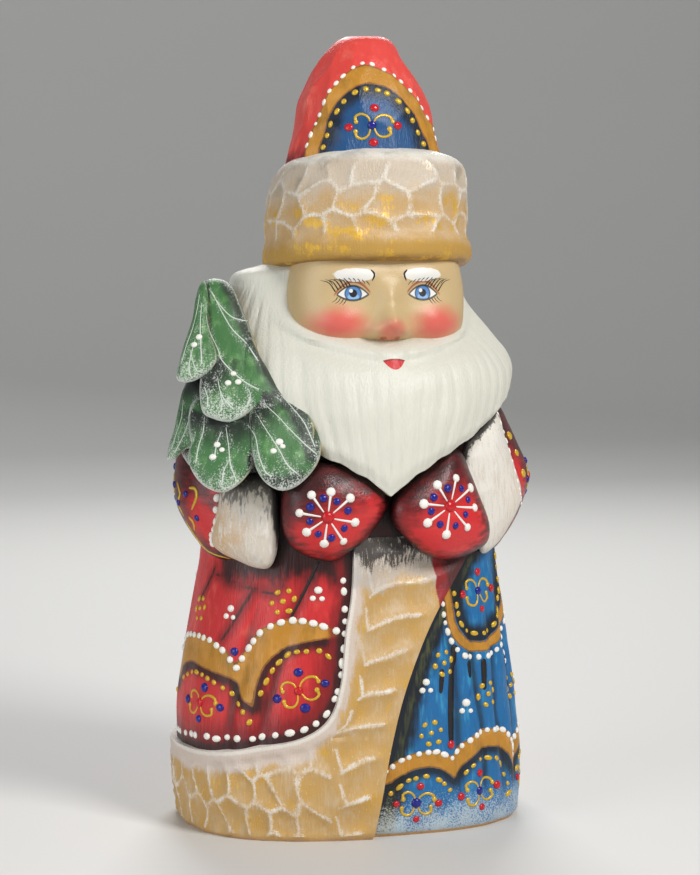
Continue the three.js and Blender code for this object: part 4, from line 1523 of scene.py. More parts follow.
@dataclass(frozen=True)
class Skin:
    """The painted face, drawn from the middles of the eyes on its even thirds."""

    skin: Colour = tone(200, 174, 128)
    blush: Colour = tone(222, 90, 84)
    white: Colour = tone(232, 230, 224)
    blue: Colour = tone(84, 132, 190)
    pale_blue: Colour = tone(140, 182, 222)
    black: Colour = tone(22, 20, 26)
    brown: Colour = tone(164, 84, 54)
    eye_half_wide: float = 3.3
    upper_lid: float = 1.85
    lower_lid: float = 1.2
    iris: float = 1.75
    pupil: float = 0.8

    def make(self) -> Material:
        """Makes the material."""
        paint = Paint("face_paint", self.skin)
        x, y, z = paint.axes()
        away = (x - HEAD_X).size()
        out, up = away - EYE_X, z - EYE_Z
        soft = paint.noise(BLOT, 61, 2)

        def oval(across: Wire, rise: Wire, half_wide: float, half_high: float) -> Wire:
            """How many times further than its own outline a point lies from an oval's middle."""
            return ((across * (1 / half_wide)).squared() + (rise * (1 / half_high)).squared()).math("SQRT")

        paint.daub(self.blush, oval(out - 3.2, up + 6.4, 8.2, 5.4) + soft * 0.4, 1.05, 0.2, 0.9)
        paint.daub(self.blush, oval(x - HEAD_X, z - NOSE_BASE_Z - 1.8, 3.9, 3.4) + soft * 0.3, 1.1, 0.3, 0.7)
        paint.daub(self.brown, oval(away - 1.5, z - NOSE_BASE_Z - 0.1, 0.75, 0.4), 1.1, 0.7, 0.7)
        bow = (out * (1 / self.eye_half_wide)).squared() * -1 + 1
        eye = (bow * self.upper_lid - up).under(bow * self.lower_lid + up)
        crease = (out * (1 / 4.3)).squared() * -3.4 + 2.75 - up
        ends = (out - 0.2).size().step(4.0, 3.4)
        paint.coat(self.brown, crease.size().step(0.42, 0.18).under(ends) * 0.9)
        opened = eye.step(-0.04, 0.08)
        paint.coat(self.white, opened)
        centre = oval(out, up - 0.15, self.iris, self.iris)
        paint.coat(self.blue, opened.under(centre.step(1.05, 0.97)))
        paint.coat(self.pale_blue, opened.under(oval(out, up + 0.55, 1.25, 0.8).step(1.1, 0.8)))
        paint.coat(self.black, opened.under(oval(out, up - 0.25, self.pupil, self.pupil).step(1.1, 0.95)))
        glint = (x - HEAD_X + 0.45).size() - EYE_X
        paint.coat(self.white, opened.under(oval(glint, up - 0.8, 0.4, 0.4).step(1.15, 0.85)))
        paint.coat(self.black, opened.under(centre.step(0.84, 0.92).under(centre.step(1.1, 1.02))) * 0.6)
        lined = (out * -1 + 3.6).under(out + 3.5).step(0.0, 0.3)
        paint.coat(self.black, (eye + out * 0.03).size().step(0.3, 0.16).under(lined) * 0.85)
        brow = oval(out + 0.2, up - (BROW_Z - EYE_Z) - 0.9, 4.6, 1.5) + paint.noise(FLECK, 63) * 0.2
        paint.daub(self.white, brow, 1.0, 0.9)
        return paint.done(0.4, paint.noise(SPECK, 62, 2), 0.05)


@dataclass(frozen=True)
class HatRed:
    """The hat's red dome, with a blue panel in a gold arch on its front."""

    red: Colour = tone(224, 70, 62)
    deep: Colour = tone(168, 34, 38)
    bright: Colour = tone(244, 132, 112)
    maroon: Colour = tone(104, 16, 26)
    blue: Colour = tone(10, 74, 126)
    dark: Colour = tone(10, 14, 26)

    def make(self) -> Material:
        """Makes the material."""
        paint = Paint("hat_red", self.red)
        strokes = paint.noise((1.4, 1.4, 6.0), 71, 3)
        blots = paint.noise(BLOT, 72, 3)
        specks = paint.noise(SPECK, 73, 3)
        paint.daub(self.bright, strokes + blots * 1.4 + specks * 0.6, 0.0, 0.8, 0.7)
        paint.daub(self.deep, strokes - blots * 1.4, 0.2, 0.8, 0.6)
        # Painted shade in the hollows.
        paint.daub(self.deep, paint.mark("hollow_shade") + strokes * 0.3, 0.2, 0.5, 0.8)
        # Painted shade at the dome's foot, above the band.
        paint.daub(self.maroon, paint.axes()[2] + blots * 8 + strokes * 3, 147.6, 144.0, 0.85)
        arch, panel = paint.mark("arch"), paint.mark("panel")
        inside = panel.step(0.1, -0.1)
        paint.coat(self.blue, inside)
        paint.coat(self.dark, inside.under((panel + blots * 3 + strokes * 2).step(-4.6, -1.6)) * 0.92)
        Gold().band(paint, arch * -1, panel)
        relief = paint.noise(GRAIN, 74, 3) + strokes * 0.5 + specks * 0.3
        return paint.done(paint.noise(FLECK, 75) * 0.2 + 0.42, relief, 0.12)


@dataclass(frozen=True)
class ShadedRed:
    """Red with brown-black painted shade from above and in from the edges, for mittens and sleeves."""

    name: str
    reach: float
    red: Colour = tone(210, 40, 43)
    bright: Colour = tone(238, 82, 72)
    maroon: Colour = tone(96, 18, 22)
    dark: Colour = tone(34, 12, 13)

    def make(self) -> Material:
        """Makes the material."""
        paint = Paint(self.name, self.red)
        strokes = paint.noise((3.4, 3.4, 0.9), 81, 3)
        blots = paint.noise(BLOT, 82, 3)
        rim, hollow_shade = paint.mark("rim"), paint.mark("hollow_shade")
        fall, side = paint.mark("fall"), paint.mark("side")
        paint.daub(self.bright, strokes + blots, 0.0, 0.6, 0.6)
        # Painted shade from above and from the left side.
        painted_shade = fall - side * 0.45 + strokes * 0.22 + blots * 0.6
        paint.daub(self.maroon, painted_shade, 0.86 - self.reach, 1.12 - self.reach, 0.9)
        paint.daub(self.dark, painted_shade + strokes * 0.3, 1.06 - self.reach, 1.3 - self.reach, 0.8)
        # Painted shade in from the edges.
        paint.daub(self.maroon, rim + strokes * 0.4 + blots * 0.3, 1.28, 1.06, 0.9)
        paint.daub(self.dark, rim + strokes * 0.3 + blots * 0.3, 1.12, 0.98, 0.95)
        # Painted shade in the hollows.
        paint.daub(self.dark, hollow_shade + strokes * 0.4, 0.3, 0.6, 0.92)
        return paint.done(paint.noise(FLECK, 85) * 0.2 + 0.34, paint.noise(SPECK, 84, 2) + strokes, 0.08)


@dataclass(frozen=True)
class CuffFur:
    """The cuffs' fur: cream, beige and ochre laid on softly, with grey hairs at the top and painted shade in
    the hollows.
    """

    ochre: Colour = tone(206, 168, 122)
    cream: Colour = tone(214, 204, 190)
    white: Colour = tone(230, 226, 218)
    grey: Colour = tone(66, 62, 60)

    def make(self) -> Material:
        """Makes the material."""
        paint = Paint("cuff_fur", self.cream)
        strokes = paint.noise((0.6, 0.6, 4.0), 91, 3)
        patches = paint.noise((4.0, 4.0, 4.5), 93, 3)
        specks = paint.noise(SPECK, 92, 3)
        hollow_shade, fall, rim = paint.mark("hollow_shade"), paint.mark("fall"), paint.mark("rim")
        # Towards the sleeve the ochre ground shows through, on both cuffs.
        right = paint.axes()[0].step(-5, 5)
        outwards = (paint.mark("side") - 1.5) * (right * 2 - 1)
        ground = (outwards + patches * 1.4 + strokes * 0.5 + fall * -0.3).step(-0.5, 0.0)
        paint.coat(self.ochre, ground.under(fall.step(1.85, 1.5)) * 0.85)
        paint.daub(self.white, strokes * 2.4 + specks * 0.8 + patches * 1.2 + right * 0.5, -0.15, 0.6, 0.85)
        # Grey hairs at the top, deepened by painted shade in the hollows.
        hairs = hollow_shade * 0.8 + fall + strokes * 1.5 + patches * 0.4 - right * 0.35
        paint.daub(self.grey, hairs, 1.72, 2.02, 0.8)
        paint.daub(self.white, strokes * -2.2 + specks + fall * 0.3, 0.75, 1.15, 0.6)
        # Painted shade in the hollows.
        paint.daub(self.grey, hollow_shade + strokes * 0.6 + specks * 0.3, 0.3, 0.62, 0.85)
        paint.daub(self.white, specks * 2 + strokes * 1.6, 0.4, 0.8, 0.4)
        # Painted shade at the rim.
        paint.daub(self.grey, rim + patches * 0.2, 1.04, 0.98, 0.5)
        return paint.done(0.5, specks * 0.6 + strokes, 0.14)


@dataclass(frozen=True)
class FirGreen:
    """The fir's boughs: green with painted shade, nearly black, in the hollows and under the tiers, and frost
    at the tips.
    """

    green: Colour = tone(62, 112, 60)
    light: Colour = tone(110, 158, 96)
    dark: Colour = tone(16, 22, 18)
    painted_shade: Colour = tone(44, 50, 46)
    frost: Colour = tone(214, 220, 212)
    gold: Colour = tone(176, 156, 74)

    def make(self) -> Material:
        """Makes the material."""
        paint = Paint("fir_green", self.green)
        strokes = paint.noise((1.2, 1.2, 4.0), 101, 3)
        blots = paint.noise(BLOT, 102, 3)
        specks = paint.noise(SPECK, 103, 4, 0.7)
        rim, fall, side, hollow_shade = paint.mark("rim"), paint.mark("fall"), paint.mark("side"), paint.mark("hollow_shade")
        tier, painted_shade = paint.mark("tier"), paint.mark("painted_shade")
        paint.daub(self.light, strokes * 1.4 + blots * 1.6, -0.1, 0.6, 0.75)
        # Painted shade: grey strips along edges that meet the beard and a mitten, nearly black under the
        # tiers and in the hollows.
        paint.daub(self.painted_shade, painted_shade + strokes * 0.8 + blots * 1.4, 2.6, 1.0, 0.9)
        paint.daub(self.dark, tier + strokes * 1.5 + blots * 3, 7.0, 1.2, 0.96)
        paint.daub(self.dark, hollow_shade + strokes * 0.3 + blots * 0.2, 0.16, 0.5, 0.95)
        low = (fall + blots * 0.5).step(1.6, 1.0)
        grain = specks * 3.4 + strokes * 0.8
        paint.coat(self.frost, (grain + low * 0.75 + blots).step(0.55, 1.2) * 0.8)
        veins, ahead = paint.mark("vein").step(2.4, 0.2), paint.mark("facing")
        paint.coat(self.frost, (grain + veins * 0.75 + low * 0.3).step(0.75, 1.4) * 0.7)
        paint.coat(self.frost, (grain + rim.step(1.3, 1.0) * ahead * 0.9 + low * 0.5).step(0.9, 1.4) * 0.85)
        paint.coat(self.frost, (rim + specks * 0.12).step(1.045, 1.01) * (low * 0.5 + 0.4) * ahead)
        inner_side = (side + blots).step(1.75, 1.9)
        paint.coat(self.gold, (rim + specks * 0.06).step(1.04, 1.0).under(inner_side) * 0.8)
        return paint.done(0.46, specks * 0.5 + strokes, 0.14)


@dataclass(frozen=True)
class BareWood:
    """Planed limewood under the figure."""

    wood: Colour = tone(196, 156, 108)
    grain: Colour = tone(150, 108, 68)

    def make(self) -> Material:
        """Makes the material."""
        paint = Paint("bare_limewood", self.wood)
        paint.coat(self.grain, (paint.noise((1.2, 14.0, 1.2), 111, 4) * 2).step(0.0, 0.7) * 0.7)
        return paint.done(0.7, paint.noise((0.4, 6.0, 0.4), 112, 3), 0.1)


@dataclass(frozen=True)
class ThickPaint:
    """Dots and strokes of thick, glossy paint."""

    name: str
    colour: Colour
    roughness: float = 0.3
    gilt: float = 0.0

    def make(self) -> Material:
        """Makes the material."""
        paint = Paint(self.name, self.colour)
        shade = tuple(c * 0.7 for c in self.colour[:3])
        paint.coat((*shade, 1.0), (paint.noise(FLECK, 121, 2) * 2).step(0.1, 0.8) * 0.5)
        paint.shader.inputs["Metallic"].default_value = self.gilt
        return paint.done(self.roughness, paint.noise(SPECK, 122, 2), 0.05)


class Finishes:
    """All the paints, made once."""

    def __init__(self) -> None:
        """Makes them."""
        self.coat_red = CoatRed().make()
        self.robe_blue = RobeBlue().make()
        self.fur = FurOchre().make()
        self.band = HatBand().make()
        self.hair = HairWhite().make()
        self.skin = Skin().make()
        self.hat_red = HatRed().make()
        self.mitten_red = ShadedRed("mitten_red", 0.12).make()
        self.sleeve_red = ShadedRed("sleeve_red", 0.2).make()
        self.cuff = CuffFur().make()
        self.fir_green = FirGreen().make()
        self.bare = BareWood().make()
        self.white = ThickPaint("white_dots", tone(242, 240, 232)).make()
        self.yellow = ThickPaint("gold_dots", tone(216, 176, 52), 0.3, 0.25).make()
        self.red = ThickPaint("red_dots", tone(196, 26, 34), 0.2).make()
        self.blue = ThickPaint("blue_dots", tone(28, 34, 132), 0.2).make()
        self.black = ThickPaint("black_lines", tone(24, 18, 16), 0.5).make()
        self.frost = ThickPaint("frost_lines", tone(206, 216, 204), 0.5).make()


# The strip's fur ends here at its top, and a corner of the red coat shows beside it.
LAPEL_TURN = math.radians(17.2)
# The middle of the fur that edges the coat at the side, which parts the robe's pattern from the coat's.
SIDE_FUR_TURN = math.radians(106.0)


@dataclass(frozen=True)
class PaintedPattern:
    """The lines that part the broad colours."""

    chain: PaintedLine = PaintedLine((
        ((-243, 40.6), (-228, 41.8), (-210, 40.8), (-196, 36.4)),
        ((-196, 36.4), (-186, 40.2), (-170, 41.8), (-155, 40.4), (-144, 36.2)),
        ((-144, 36.2), (-136, 39.6), (-118, 41.7), (-104, 40.6), (-98, 38.2), (-96, 37.4)),
        ((-96, 37.4), (-91.7, 40.4), (-81.5, 41.5), (-69.3, 41.2), (-57.8, 39.3), (-51.5, 36.2)),
        ((-51.5, 36.2), (-46.9, 40.4), (-41.6, 44.1), (-33.4, 46.2), (-25.1, 46.6), (-14.9, 45), (-6, 43)),
    ))
    gold: PaintedLine = PaintedLine((
        ((-243, 34.6), (-228, 35.4), (-208, 33.8), (-196, 29.4)),
        ((-196, 29.4), (-184, 34.0), (-170, 35.4), (-156, 33.8), (-144, 29.0)),
        ((-144, 29.0), (-132, 34.0), (-116, 35.2), (-100, 33.2), (-93.2, 30.5)),
        ((-93.2, 30.5), (-89.7, 34.1), (-81.5, 35.8), (-67.7, 35.1), (-52.7, 33.7), (-47.5, 30.1),
         (-41.3, 28.4)),
        ((-41.3, 28.4), (-40.1, 33.5), (-37.1, 37.6), (-31.6, 40.6), (-25, 41.9), (-15.7, 42.9),
         (-6, 43.2)),
    ))
    robe_chain: PaintedLine = PaintedLine((
        ((0, 14.2), (3.3, 16.2), (8.2, 17.4), (14.4, 17.6), (20.2, 15.9)),
        ((20.2, 15.9), (25.7, 18.5), (33.9, 20.6), (43.5, 20.6), (50.2, 19.9), (56.1, 16.9), (59.5, 13.8)),
        ((59.5, 13.8), (64, 17.6), (74, 20.2), (86, 19.8), (96, 17.4)),
    ))
    robe_gold: PaintedLine = PaintedLine((
        ((0, 11.4), (3.3, 13.2), (8.2, 14.4), (14.4, 14.2), (20.7, 11.4)),
        ((20.7, 11.4), (26, 14.6), (33.9, 16.9), (43.5, 17.0), (50.2, 15.7), (55, 12.4), (58.6, 9.2)),
        ((58.6, 9.2), (64, 13.8), (74, 16.6), (86, 16.2), (96, 13.8)),
    ))
    bowl_low: PaintedLine = PaintedLine((
        ((22, 56), (23.4, 49), (24.4, 44.5), (27, 40.6), (32, 38.4), (39.6, 37.9), (47, 38.2),
         (54.7, 39.4), (62, 41.6), (70, 46.5), (75, 54), (77.5, 64), (78, 80)),
    ))
    bowl_high: PaintedLine = PaintedLine((
        ((25.6, 56), (26.6, 49), (27.6, 44.6), (30.6, 41.8), (36, 40.2), (43, 40.1), (49, 40.7),
         (56, 42.4), (62, 45.0), (67, 49), (70.6, 56), (73, 65), (73.5, 80)),
    ))
    arch: PaintedLine = PaintedLine((
        ((-66, 136), (-62.9, 143.6), (-60.2, 149), (-51.2, 154.7), (-38, 160), (-16.9, 163.2), (4.3, 162.7),
         (21.6, 160.7), (36, 157.4), (50, 152.6), (60, 147.6), (64, 136)),
    ), HAT_RINGS)
    panel: PaintedLine = PaintedLine((
        ((-52, 136), (-49.5, 142.4), (-47.4, 147.8), (-42.4, 152.6), (-31.1, 156.2), (-11.5, 158.9),
         (8.9, 158.1), (22, 155.3), (31.7, 151), (40, 144.6), (43, 136)),
    ), HAT_RINGS)
    # Shaded folds in the red coat.
    folds: PaintedLine = PaintedLine((
        ((-73.6, 56.5), (-77, 53), (-81.6, 49.6)), ((-72.0, 55.2), (-51.9, 53.4), (-36.6, 51.9)),
        ((-47.5, 52.6), (-54.5, 46.2), (-60.5, 41.8)), ((-20.6, 59.6), (-25.7, 52.1), (-29.6, 47.2)),
    ))
    # The lower rims of the fir's upper tiers, which shade what lies under them, and its strips of painted
    # shade.
    fir_rims: tuple[PaintedLine, ...] = (
        PaintedLine((
            ((-36.3, 97.7), (-33.7, 97.1), (-31.6, 97.8), (-29.9, 99.0), (-28.4, 100.6), (-27.5, 102.2)),
        ), None),
        PaintedLine((
            ((-31.4, 91.0), (-28.4, 89.6), (-25.2, 89.0), (-23.1, 89.6), (-20.6, 91.0), (-18.9, 93.3),
             (-18.2, 95.4)),
        ), None),
    )
    fir_shade_strips: PaintedLine = PaintedLine((
        ((-25.6, 117.6), (-22.8, 111.6), (-20.2, 106.0), (-17.8, 101.0), (-15.0, 97.0)),
        ((-14.2, 95.2), (-11.0, 90.8), (-8.9, 86.8), (-7.6, 82.6)),
        ((-16.6, 77.2), (-14, 76.4), (-10.5, 77.2)),
    ), None)


class CarvedBody:
    """The figure's one body, joined from its forms, with what the paints read at its points."""

    SMOOTH_BELOW = math.radians(38.0)
    RAYS = 16
    QUICK_RAYS = 5
    RAY_REACH = 6.0
    # Heights: the wood stays bare up to here, the lapel shows from here, and the head starts here.
    BARE_TOP = 0.9
    LAPEL_FOOT = 46.5
    HEAD_FOOT = 112.0

    def __init__(self, forms: Sequence[Form], finishes: Finishes) -> None:
        """Joins the forms.

        Args:
            forms: Closed forms, the largest first.
            finishes: The paints.
        """
        self.piece = carved_with(forms[0], forms[1:], Boolean.JOIN)
        ground = painted(block("ground", (-80, -80, -40), (80, 80, 0)), finishes.bare)
        carved_with(self.piece, [ground], Boolean.CUT)
        self.piece.name = "carved_body"
        self.mesh = self.piece.data
        self.finishes = finishes
        self.points = self.read("co", 3) / UNIT
        self.edges = np.empty(len(self.mesh.edges) * 2, dtype=np.int32)
        self.mesh.edges.foreach_get("vertices", self.edges)
        self.edges = self.edges.reshape(-1, 2)
        self.paint_underside()
        self.tree = self.make_tree()

    def read(self, what: str, width: int) -> Points:
        """Reads numbers of the mesh's vertices."""
        values = np.empty(len(self.mesh.vertices) * width)
        self.mesh.vertices.foreach_get(what, values)
        return values.reshape(-1, width)

    def make_tree(self) -> BVHTree:
        """A tree for casting rays at the body, in units."""
        bm = bmesh.new()
        bm.from_mesh(self.mesh)
        bmesh.ops.scale(bm, vec=(1 / UNIT,) * 3, verts=bm.verts)
        tree = BVHTree.FromBMesh(bm)
        bm.free()
        return tree

    def paint_underside(self) -> None:
        """Leaves the flat underside and the chamfer round it bare."""
        bare = self.mesh.materials.find(self.finishes.bare.name)
        for face in self.mesh.polygons:
            if face.center.z < self.BARE_TOP * UNIT:
                face.material_index = bare

    def smoothed(self, values: Points, times: int) -> Points:
        """Values averaged with those of their neighbours."""
        a, b = self.edges.T
        count = np.bincount(a, minlength=len(values)) + np.bincount(b, minlength=len(values)) + 1
        for _ in range(times):
            total = values + np.bincount(a, values[b], len(values)) + np.bincount(b, values[a], len(values))
            values = total / count
        return values

    def hollows(self) -> Points:
        """How enclosed each point is, from 0 in the open to 1 in a deep corner, for the painted shade in
        hollows.
        """
        golden = math.pi * (3 - math.sqrt(5))
        ways = []
        rays_each = self.RAYS
        for k in range(rays_each):
            up = 1 - (k + 0.5) / rays_each * 0.92
            flat = math.sqrt(1 - up * up)
            ways.append((flat * math.cos(golden * k), flat * math.sin(golden * k), up))
        normals = self.read("normal", 3)
        helper = np.where(np.abs(normals[:, 2:]) < 0.9, [[0, 0, 1.0]], [[1.0, 0, 0]])
        side = np.cross(helper, normals)
        side /= np.linalg.norm(side, axis=1)[:, None]
        other = np.cross(normals, side)
        starts = (self.points + normals * 0.2).tolist()
        shut = np.zeros(len(starts))
        cast, reach = self.tree.ray_cast, self.RAY_REACH
        for a, b, c in ways:
            rays = (side * a + other * b + normals * c).tolist()
            hits = [cast(start, ray, reach)[3] for start, ray in zip(starts, rays)]
            near = np.array([reach if far is None else far for far in hits])
            shut += (1 - near / reach) * c
        return self.smoothed(shut / sum(w[2] for w in ways) * 1.6, 2)

    def mark(self, name: str, values: Points) -> None:
        """Writes numbers for the paints at the body's points."""
        write_mark(self.mesh, name, values)

    def mend_marks(self, names: Sequence[str]) -> None:
        """Fills in marks at points that the joining made, from the points next to them."""
        a, b = self.edges.T
        for name in names:
            values = np.empty(len(self.points))
            self.mesh.attributes[name].data.foreach_get("value", values)
            for _ in range(4):
                known = (values > 0.5).astype(float)
                total = np.bincount(a, (values * known)[b], len(values))
                total += np.bincount(b, (values * known)[a], len(values))
                count = np.bincount(a, known[b], len(values)) + np.bincount(b, known[a], len(values))
                values = np.where((known == 0) & (count > 0), total / np.maximum(count, 1), values)
            self.mark(name, values)

    def measure(self, robes: Robes, hat: Hat, pattern: PaintedPattern) -> None:
        """Works out what the paints read.

        Args:
            robes: The robes, whose folds and fur are read again.
            hat: The hat, whose scoops are read again.
            pattern: The lines between the broad colours.
        """
        points = self.points
        turn, z = ROBE_RINGS.unrolled(points)
        right = (turn > 0) & (turn < SIDE_FUR_TURN)
        on_robe = np.degrees(np.where(turn > SIDE_FUR_TURN, turn - 2 * math.pi, turn)), z
        self.mark("chain", np.where(right, pattern.robe_chain.above(*on_robe), pattern.chain.above(*on_robe)))
        self.mark("gold", np.where(right, pattern.robe_gold.above(*on_robe), pattern.gold.above(*on_robe)))
        self.mark("bowl_low", pattern.bowl_low.above(*on_robe))
        self.mark("bowl_high", pattern.bowl_high.above(*on_robe))
        self.mark("fold", np.clip(-robes.folds(turn, z) / robes.fold_depth, 0, 1))
        hat_turn, hat_z = HAT_RINGS.unrolled(points)
        self.mark("arch", pattern.arch.above(np.degrees(hat_turn), hat_z))
        self.mark("panel", pattern.panel.above(np.degrees(hat_turn), hat_z))
        band_turn, band_z = BAND_RINGS.unrolled(points)
        on_head = points[:, 2] > self.HEAD_FOOT
        cuts = robes.fur(points).blend(hat.band_work(band_turn, band_z), on_head.astype(float))
        self.mark("ridge_up", cuts.up)
        self.mark("ridge_along", cuts.along)
        self.mark("calm", cuts.calm)
        low, high = BAND_RINGS.rows[0][0], BAND_RINGS.rows[-1][0]
        self.mark("rise", (band_z - low) / (high - low))
        border = robes.fur_line_distance(turn, z, points)
        opening = across_at(robes.opening, z)
        front = points[:, 1] < 0
        from_opening = np.abs(np.where(front, points[:, 0] - opening, robes.side_edge_front - points[:, 1]))
        shell = ROBE_RINGS.point(turn, z, robes.coat_step / 2)
        inner = np.hypot(points[:, 0], points[:, 1]) < np.hypot(shell[:, 0], shell[:, 1])
        beside = (right & (points[:, 0] > opening)) | (inner & front & (points[:, 0] > opening - 6))
        self.mark("edge", np.where(beside & (z < robes.opening[-1][1]), from_opening, border))
        past_lapel = ROBE_RINGS.arc(turn) - ROBE_RINGS.arc(LAPEL_TURN)
        self.mark("lapel", np.where((z > self.LAPEL_FOOT) & front, past_lapel, -9))
        self.mark("crease", np.where(front & ~right, pattern.folds.far(*on_robe), 9))
        seen = points @ ACROSS, points[:, 2]
        # The fir's painted shade: under its tiers, and along its strips.
        under = [-rim.above(*seen) for rim in pattern.fir_rims]
        self.mark("tier", np.min([np.where(far < 0, 9, far) for far in under], axis=0))
        self.mark("painted_shade", pattern.fir_shade_strips.far(*seen))
        facing = ease((self.read("normal", 3) @ TOWARDS + 0.05) / 0.35)
        self.mark("facing", facing)
        self.mark("vein", PaintedLine(FirPainting().veins, None).far(*seen) + 4 * (1 - facing))
        # Painted shade in the hollows, which every finish reads.
        self.mark("hollow_shade", self.hollows())
        self.mend_marks(("rim", "fall", "side"))
        self.mesh.shade_smooth()
        self.mesh.set_sharp_from_angle(angle=self.SMOOTH_BELOW)

    def place(self) -> Form:
        """Rides the body on the frame, in place of the CAD solid."""
        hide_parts(NODE)
        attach(self.piece, BODY)
        return self.piece


@dataclass(frozen=True)
class Spot:
    """A place on the body, and the way out from there."""

    at: Vector
    out: Vector


class Chart:
    """Drawing coordinates on the body.

    With rings they are (turn in degrees, height) round a turned form. Without, they are (across, height) as
    seen from turn left of the front.
    """

    FAR_OUT = 70.0
    NEAR_OUT = 8.0
    REACH = 90.0

    def __init__(self, body: CarvedBody, rings: Rings | None = None, turn: float = VIEW_TURN) -> None:
        """Holds what is drawn on, and how."""
        self.tree = body.tree
        self.rings = rings
        self.turn = turn

    def spot(self, a: float, b: float) -> Spot:
        """The place on the body at a pair of coordinates."""
        if self.rings is None:
            c, s = math.cos(self.turn), math.sin(self.turn)
            ahead = Vector((-s, -c, 0.0))
            start = Vector((a * c, -a * s, b)) + ahead * self.FAR_OUT
            way = -ahead
        else:
            turn, z = np.radians([a]), np.array([b])
            on, start = (Vector(self.rings.point(turn, z, swell)[0]) for swell in (0.0, self.NEAR_OUT))
            way = on - start
        at, out, _, _ = self.tree.ray_cast(start, way.normalized(), self.REACH)
        if at is None:
            return Spot(start + way, -way.normalized())
        return Spot(at, out)

    def path(self, points: Sequence[Pair], count: int = 10) -> list[Spot]:
        """Places along a smooth curve through points."""
        return [self.spot(a, b) for a, b in open_curve(points, count)]

    def near(self, middle: Pair, offsets: Iterable[Pair]) -> list[Pair]:
        """Coordinates that lie offsets, in units across and up, from a middle."""
        if self.rings is None:
            return [(middle[0] + x, middle[1] + y) for x, y in offsets]
        return [(self.rings.moved(middle[0], middle[1] + y, x), middle[1] + y) for x, y in offsets]


class Brush:
    """One pot of thick paint, laid on the body as dots and strokes."""

    def __init__(self, name: str, paint: Material) -> None:
        """Starts with nothing painted."""
        self.name = name
        self.paint = paint
        self.bm = bmesh.new()
        self.wet = bpy.data.meshes.new(name + "_wet")
        self.rng = np.random.default_rng(len(name))

    def lay(self, touch: bmesh.types.BMesh) -> None:
        """Adds one touch of the brush."""
        bmesh.ops.recalc_face_normals(touch, faces=touch.faces)
        touch.to_mesh(self.wet)
        touch.free()
        self.bm.from_mesh(self.wet, face_normals=False, vertex_normals=False)

    def dot(
        self, spot: Spot, radius: float, long: float = 1.0, way: Vector | None = None, rise: float = 0.5
    ) -> None:
        """A dot.

        Args:
            spot: Where it goes.
            radius: Half its width.
            long: How much longer than wide it is.
            way: Where its length points, or None.
            rise: Its height as a share of the radius.
        """
        grown = radius * self.rng.uniform(0.86, 1.12)
        turned = spot.out.to_track_quat("Z", "Y").to_matrix()
        if way is not None and way.cross(spot.out).length > 1e-4:
            side = spot.out.cross(way).normalized()
            turned = Matrix((side.cross(spot.out), side, spot.out)).transposed()
        shape = Matrix.Diagonal((grown * long, grown, grown * rise, 1.0))
        touch = bmesh.new()
        place = Matrix.Translation(spot.at) @ turned.to_4x4() @ shape
        bmesh.ops.create_uvsphere(touch, u_segments=9, v_segments=6, radius=1.0, matrix=place)
        self.lay(touch)

    def row(self, chart: Chart, places: Iterable[Sequence[float]], radius: float, long: float = 1.0) -> None:
        """A row of dots, each a little different, that lie along the row."""
        spots = [chart.spot(a, b) for a, b in places]
        for before, spot, after in zip([spots[0], *spots], spots, [*spots[1:], spots[-1]]):
            way = (after.at - before.at) + Vector(self.rng.normal(size=3)) * 0.5
            self.dot(spot, radius, self.rng.uniform(1.0, long), way)

    def stroke(
        self, spots: Sequence[Spot], width: float, tips: Pair = (0.4, 0.4), rise: float = 0.35
    ) -> None:
        """A stroke along spots.

        Args:
            spots: Places along it.
            width: Its width where it is widest.
            tips: The width at both ends, as shares of that.
            rise: Its height as a share of half the width.
        """
        count = len(spots)
        touch = bmesh.new()
        for v in bmesh.ops.create_uvsphere(touch, u_segments=6, v_segments=count + 1, radius=1.0)["verts"]:
            place = (math.asin(max(-1.0, min(1.0, v.co.z))) / math.pi + 0.5) * (count + 1)
            i = min(count - 1, max(0, round(place) - 1))
            share = i / (count - 1)
            way = (spots[min(i + 1, count - 1)].at - spots[max(i - 1, 0)].at).normalized()
            side = way.cross(spots[i].out).normalized()
            end = round(place) in (0, count + 1)
            belly = math.sin(math.pi * share) ** 0.5
            spread = tips[0] + (tips[1] - tips[0]) * share + (1 - max(tips)) * belly
            wide = 0.0 if end else width / 2 * spread
            around = math.atan2(v.co.y, v.co.x)
            beyond = way * (width * 0.2 * (1 if place > 1 else -1)) if end else Vector()
            raised = spots[i].out * (math.sin(around) * wide * rise)
            v.co = spots[i].at + beyond + side * (math.cos(around) * wide) + raised
        self.lay(touch)

    def place(self) -> Form:
        """Makes the painted piece and rides it on the frame."""
        piece = painted(to_object(self.bm, self.name), self.paint)
        bpy.data.meshes.remove(self.wet)
        piece.data.shade_smooth()
        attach(piece, BODY)
        return piece


class Brushes:
    """All the pots of thick paint."""

    def __init__(self, finishes: Finishes) -> None:
        """Opens them."""
        self.white = Brush("white_paint", finishes.white)
        self.gold = Brush("gold_paint", finishes.yellow)
        self.red = Brush("red_paint", finishes.red)
        self.blue = Brush("blue_paint", finishes.blue)
        self.black = Brush("black_paint", finishes.black)
        self.frost = Brush("frost_paint", finishes.frost)

    def place(self) -> Forms:
        """Makes the painted pieces."""
        return [brush.place() for brush in vars(self).values()]


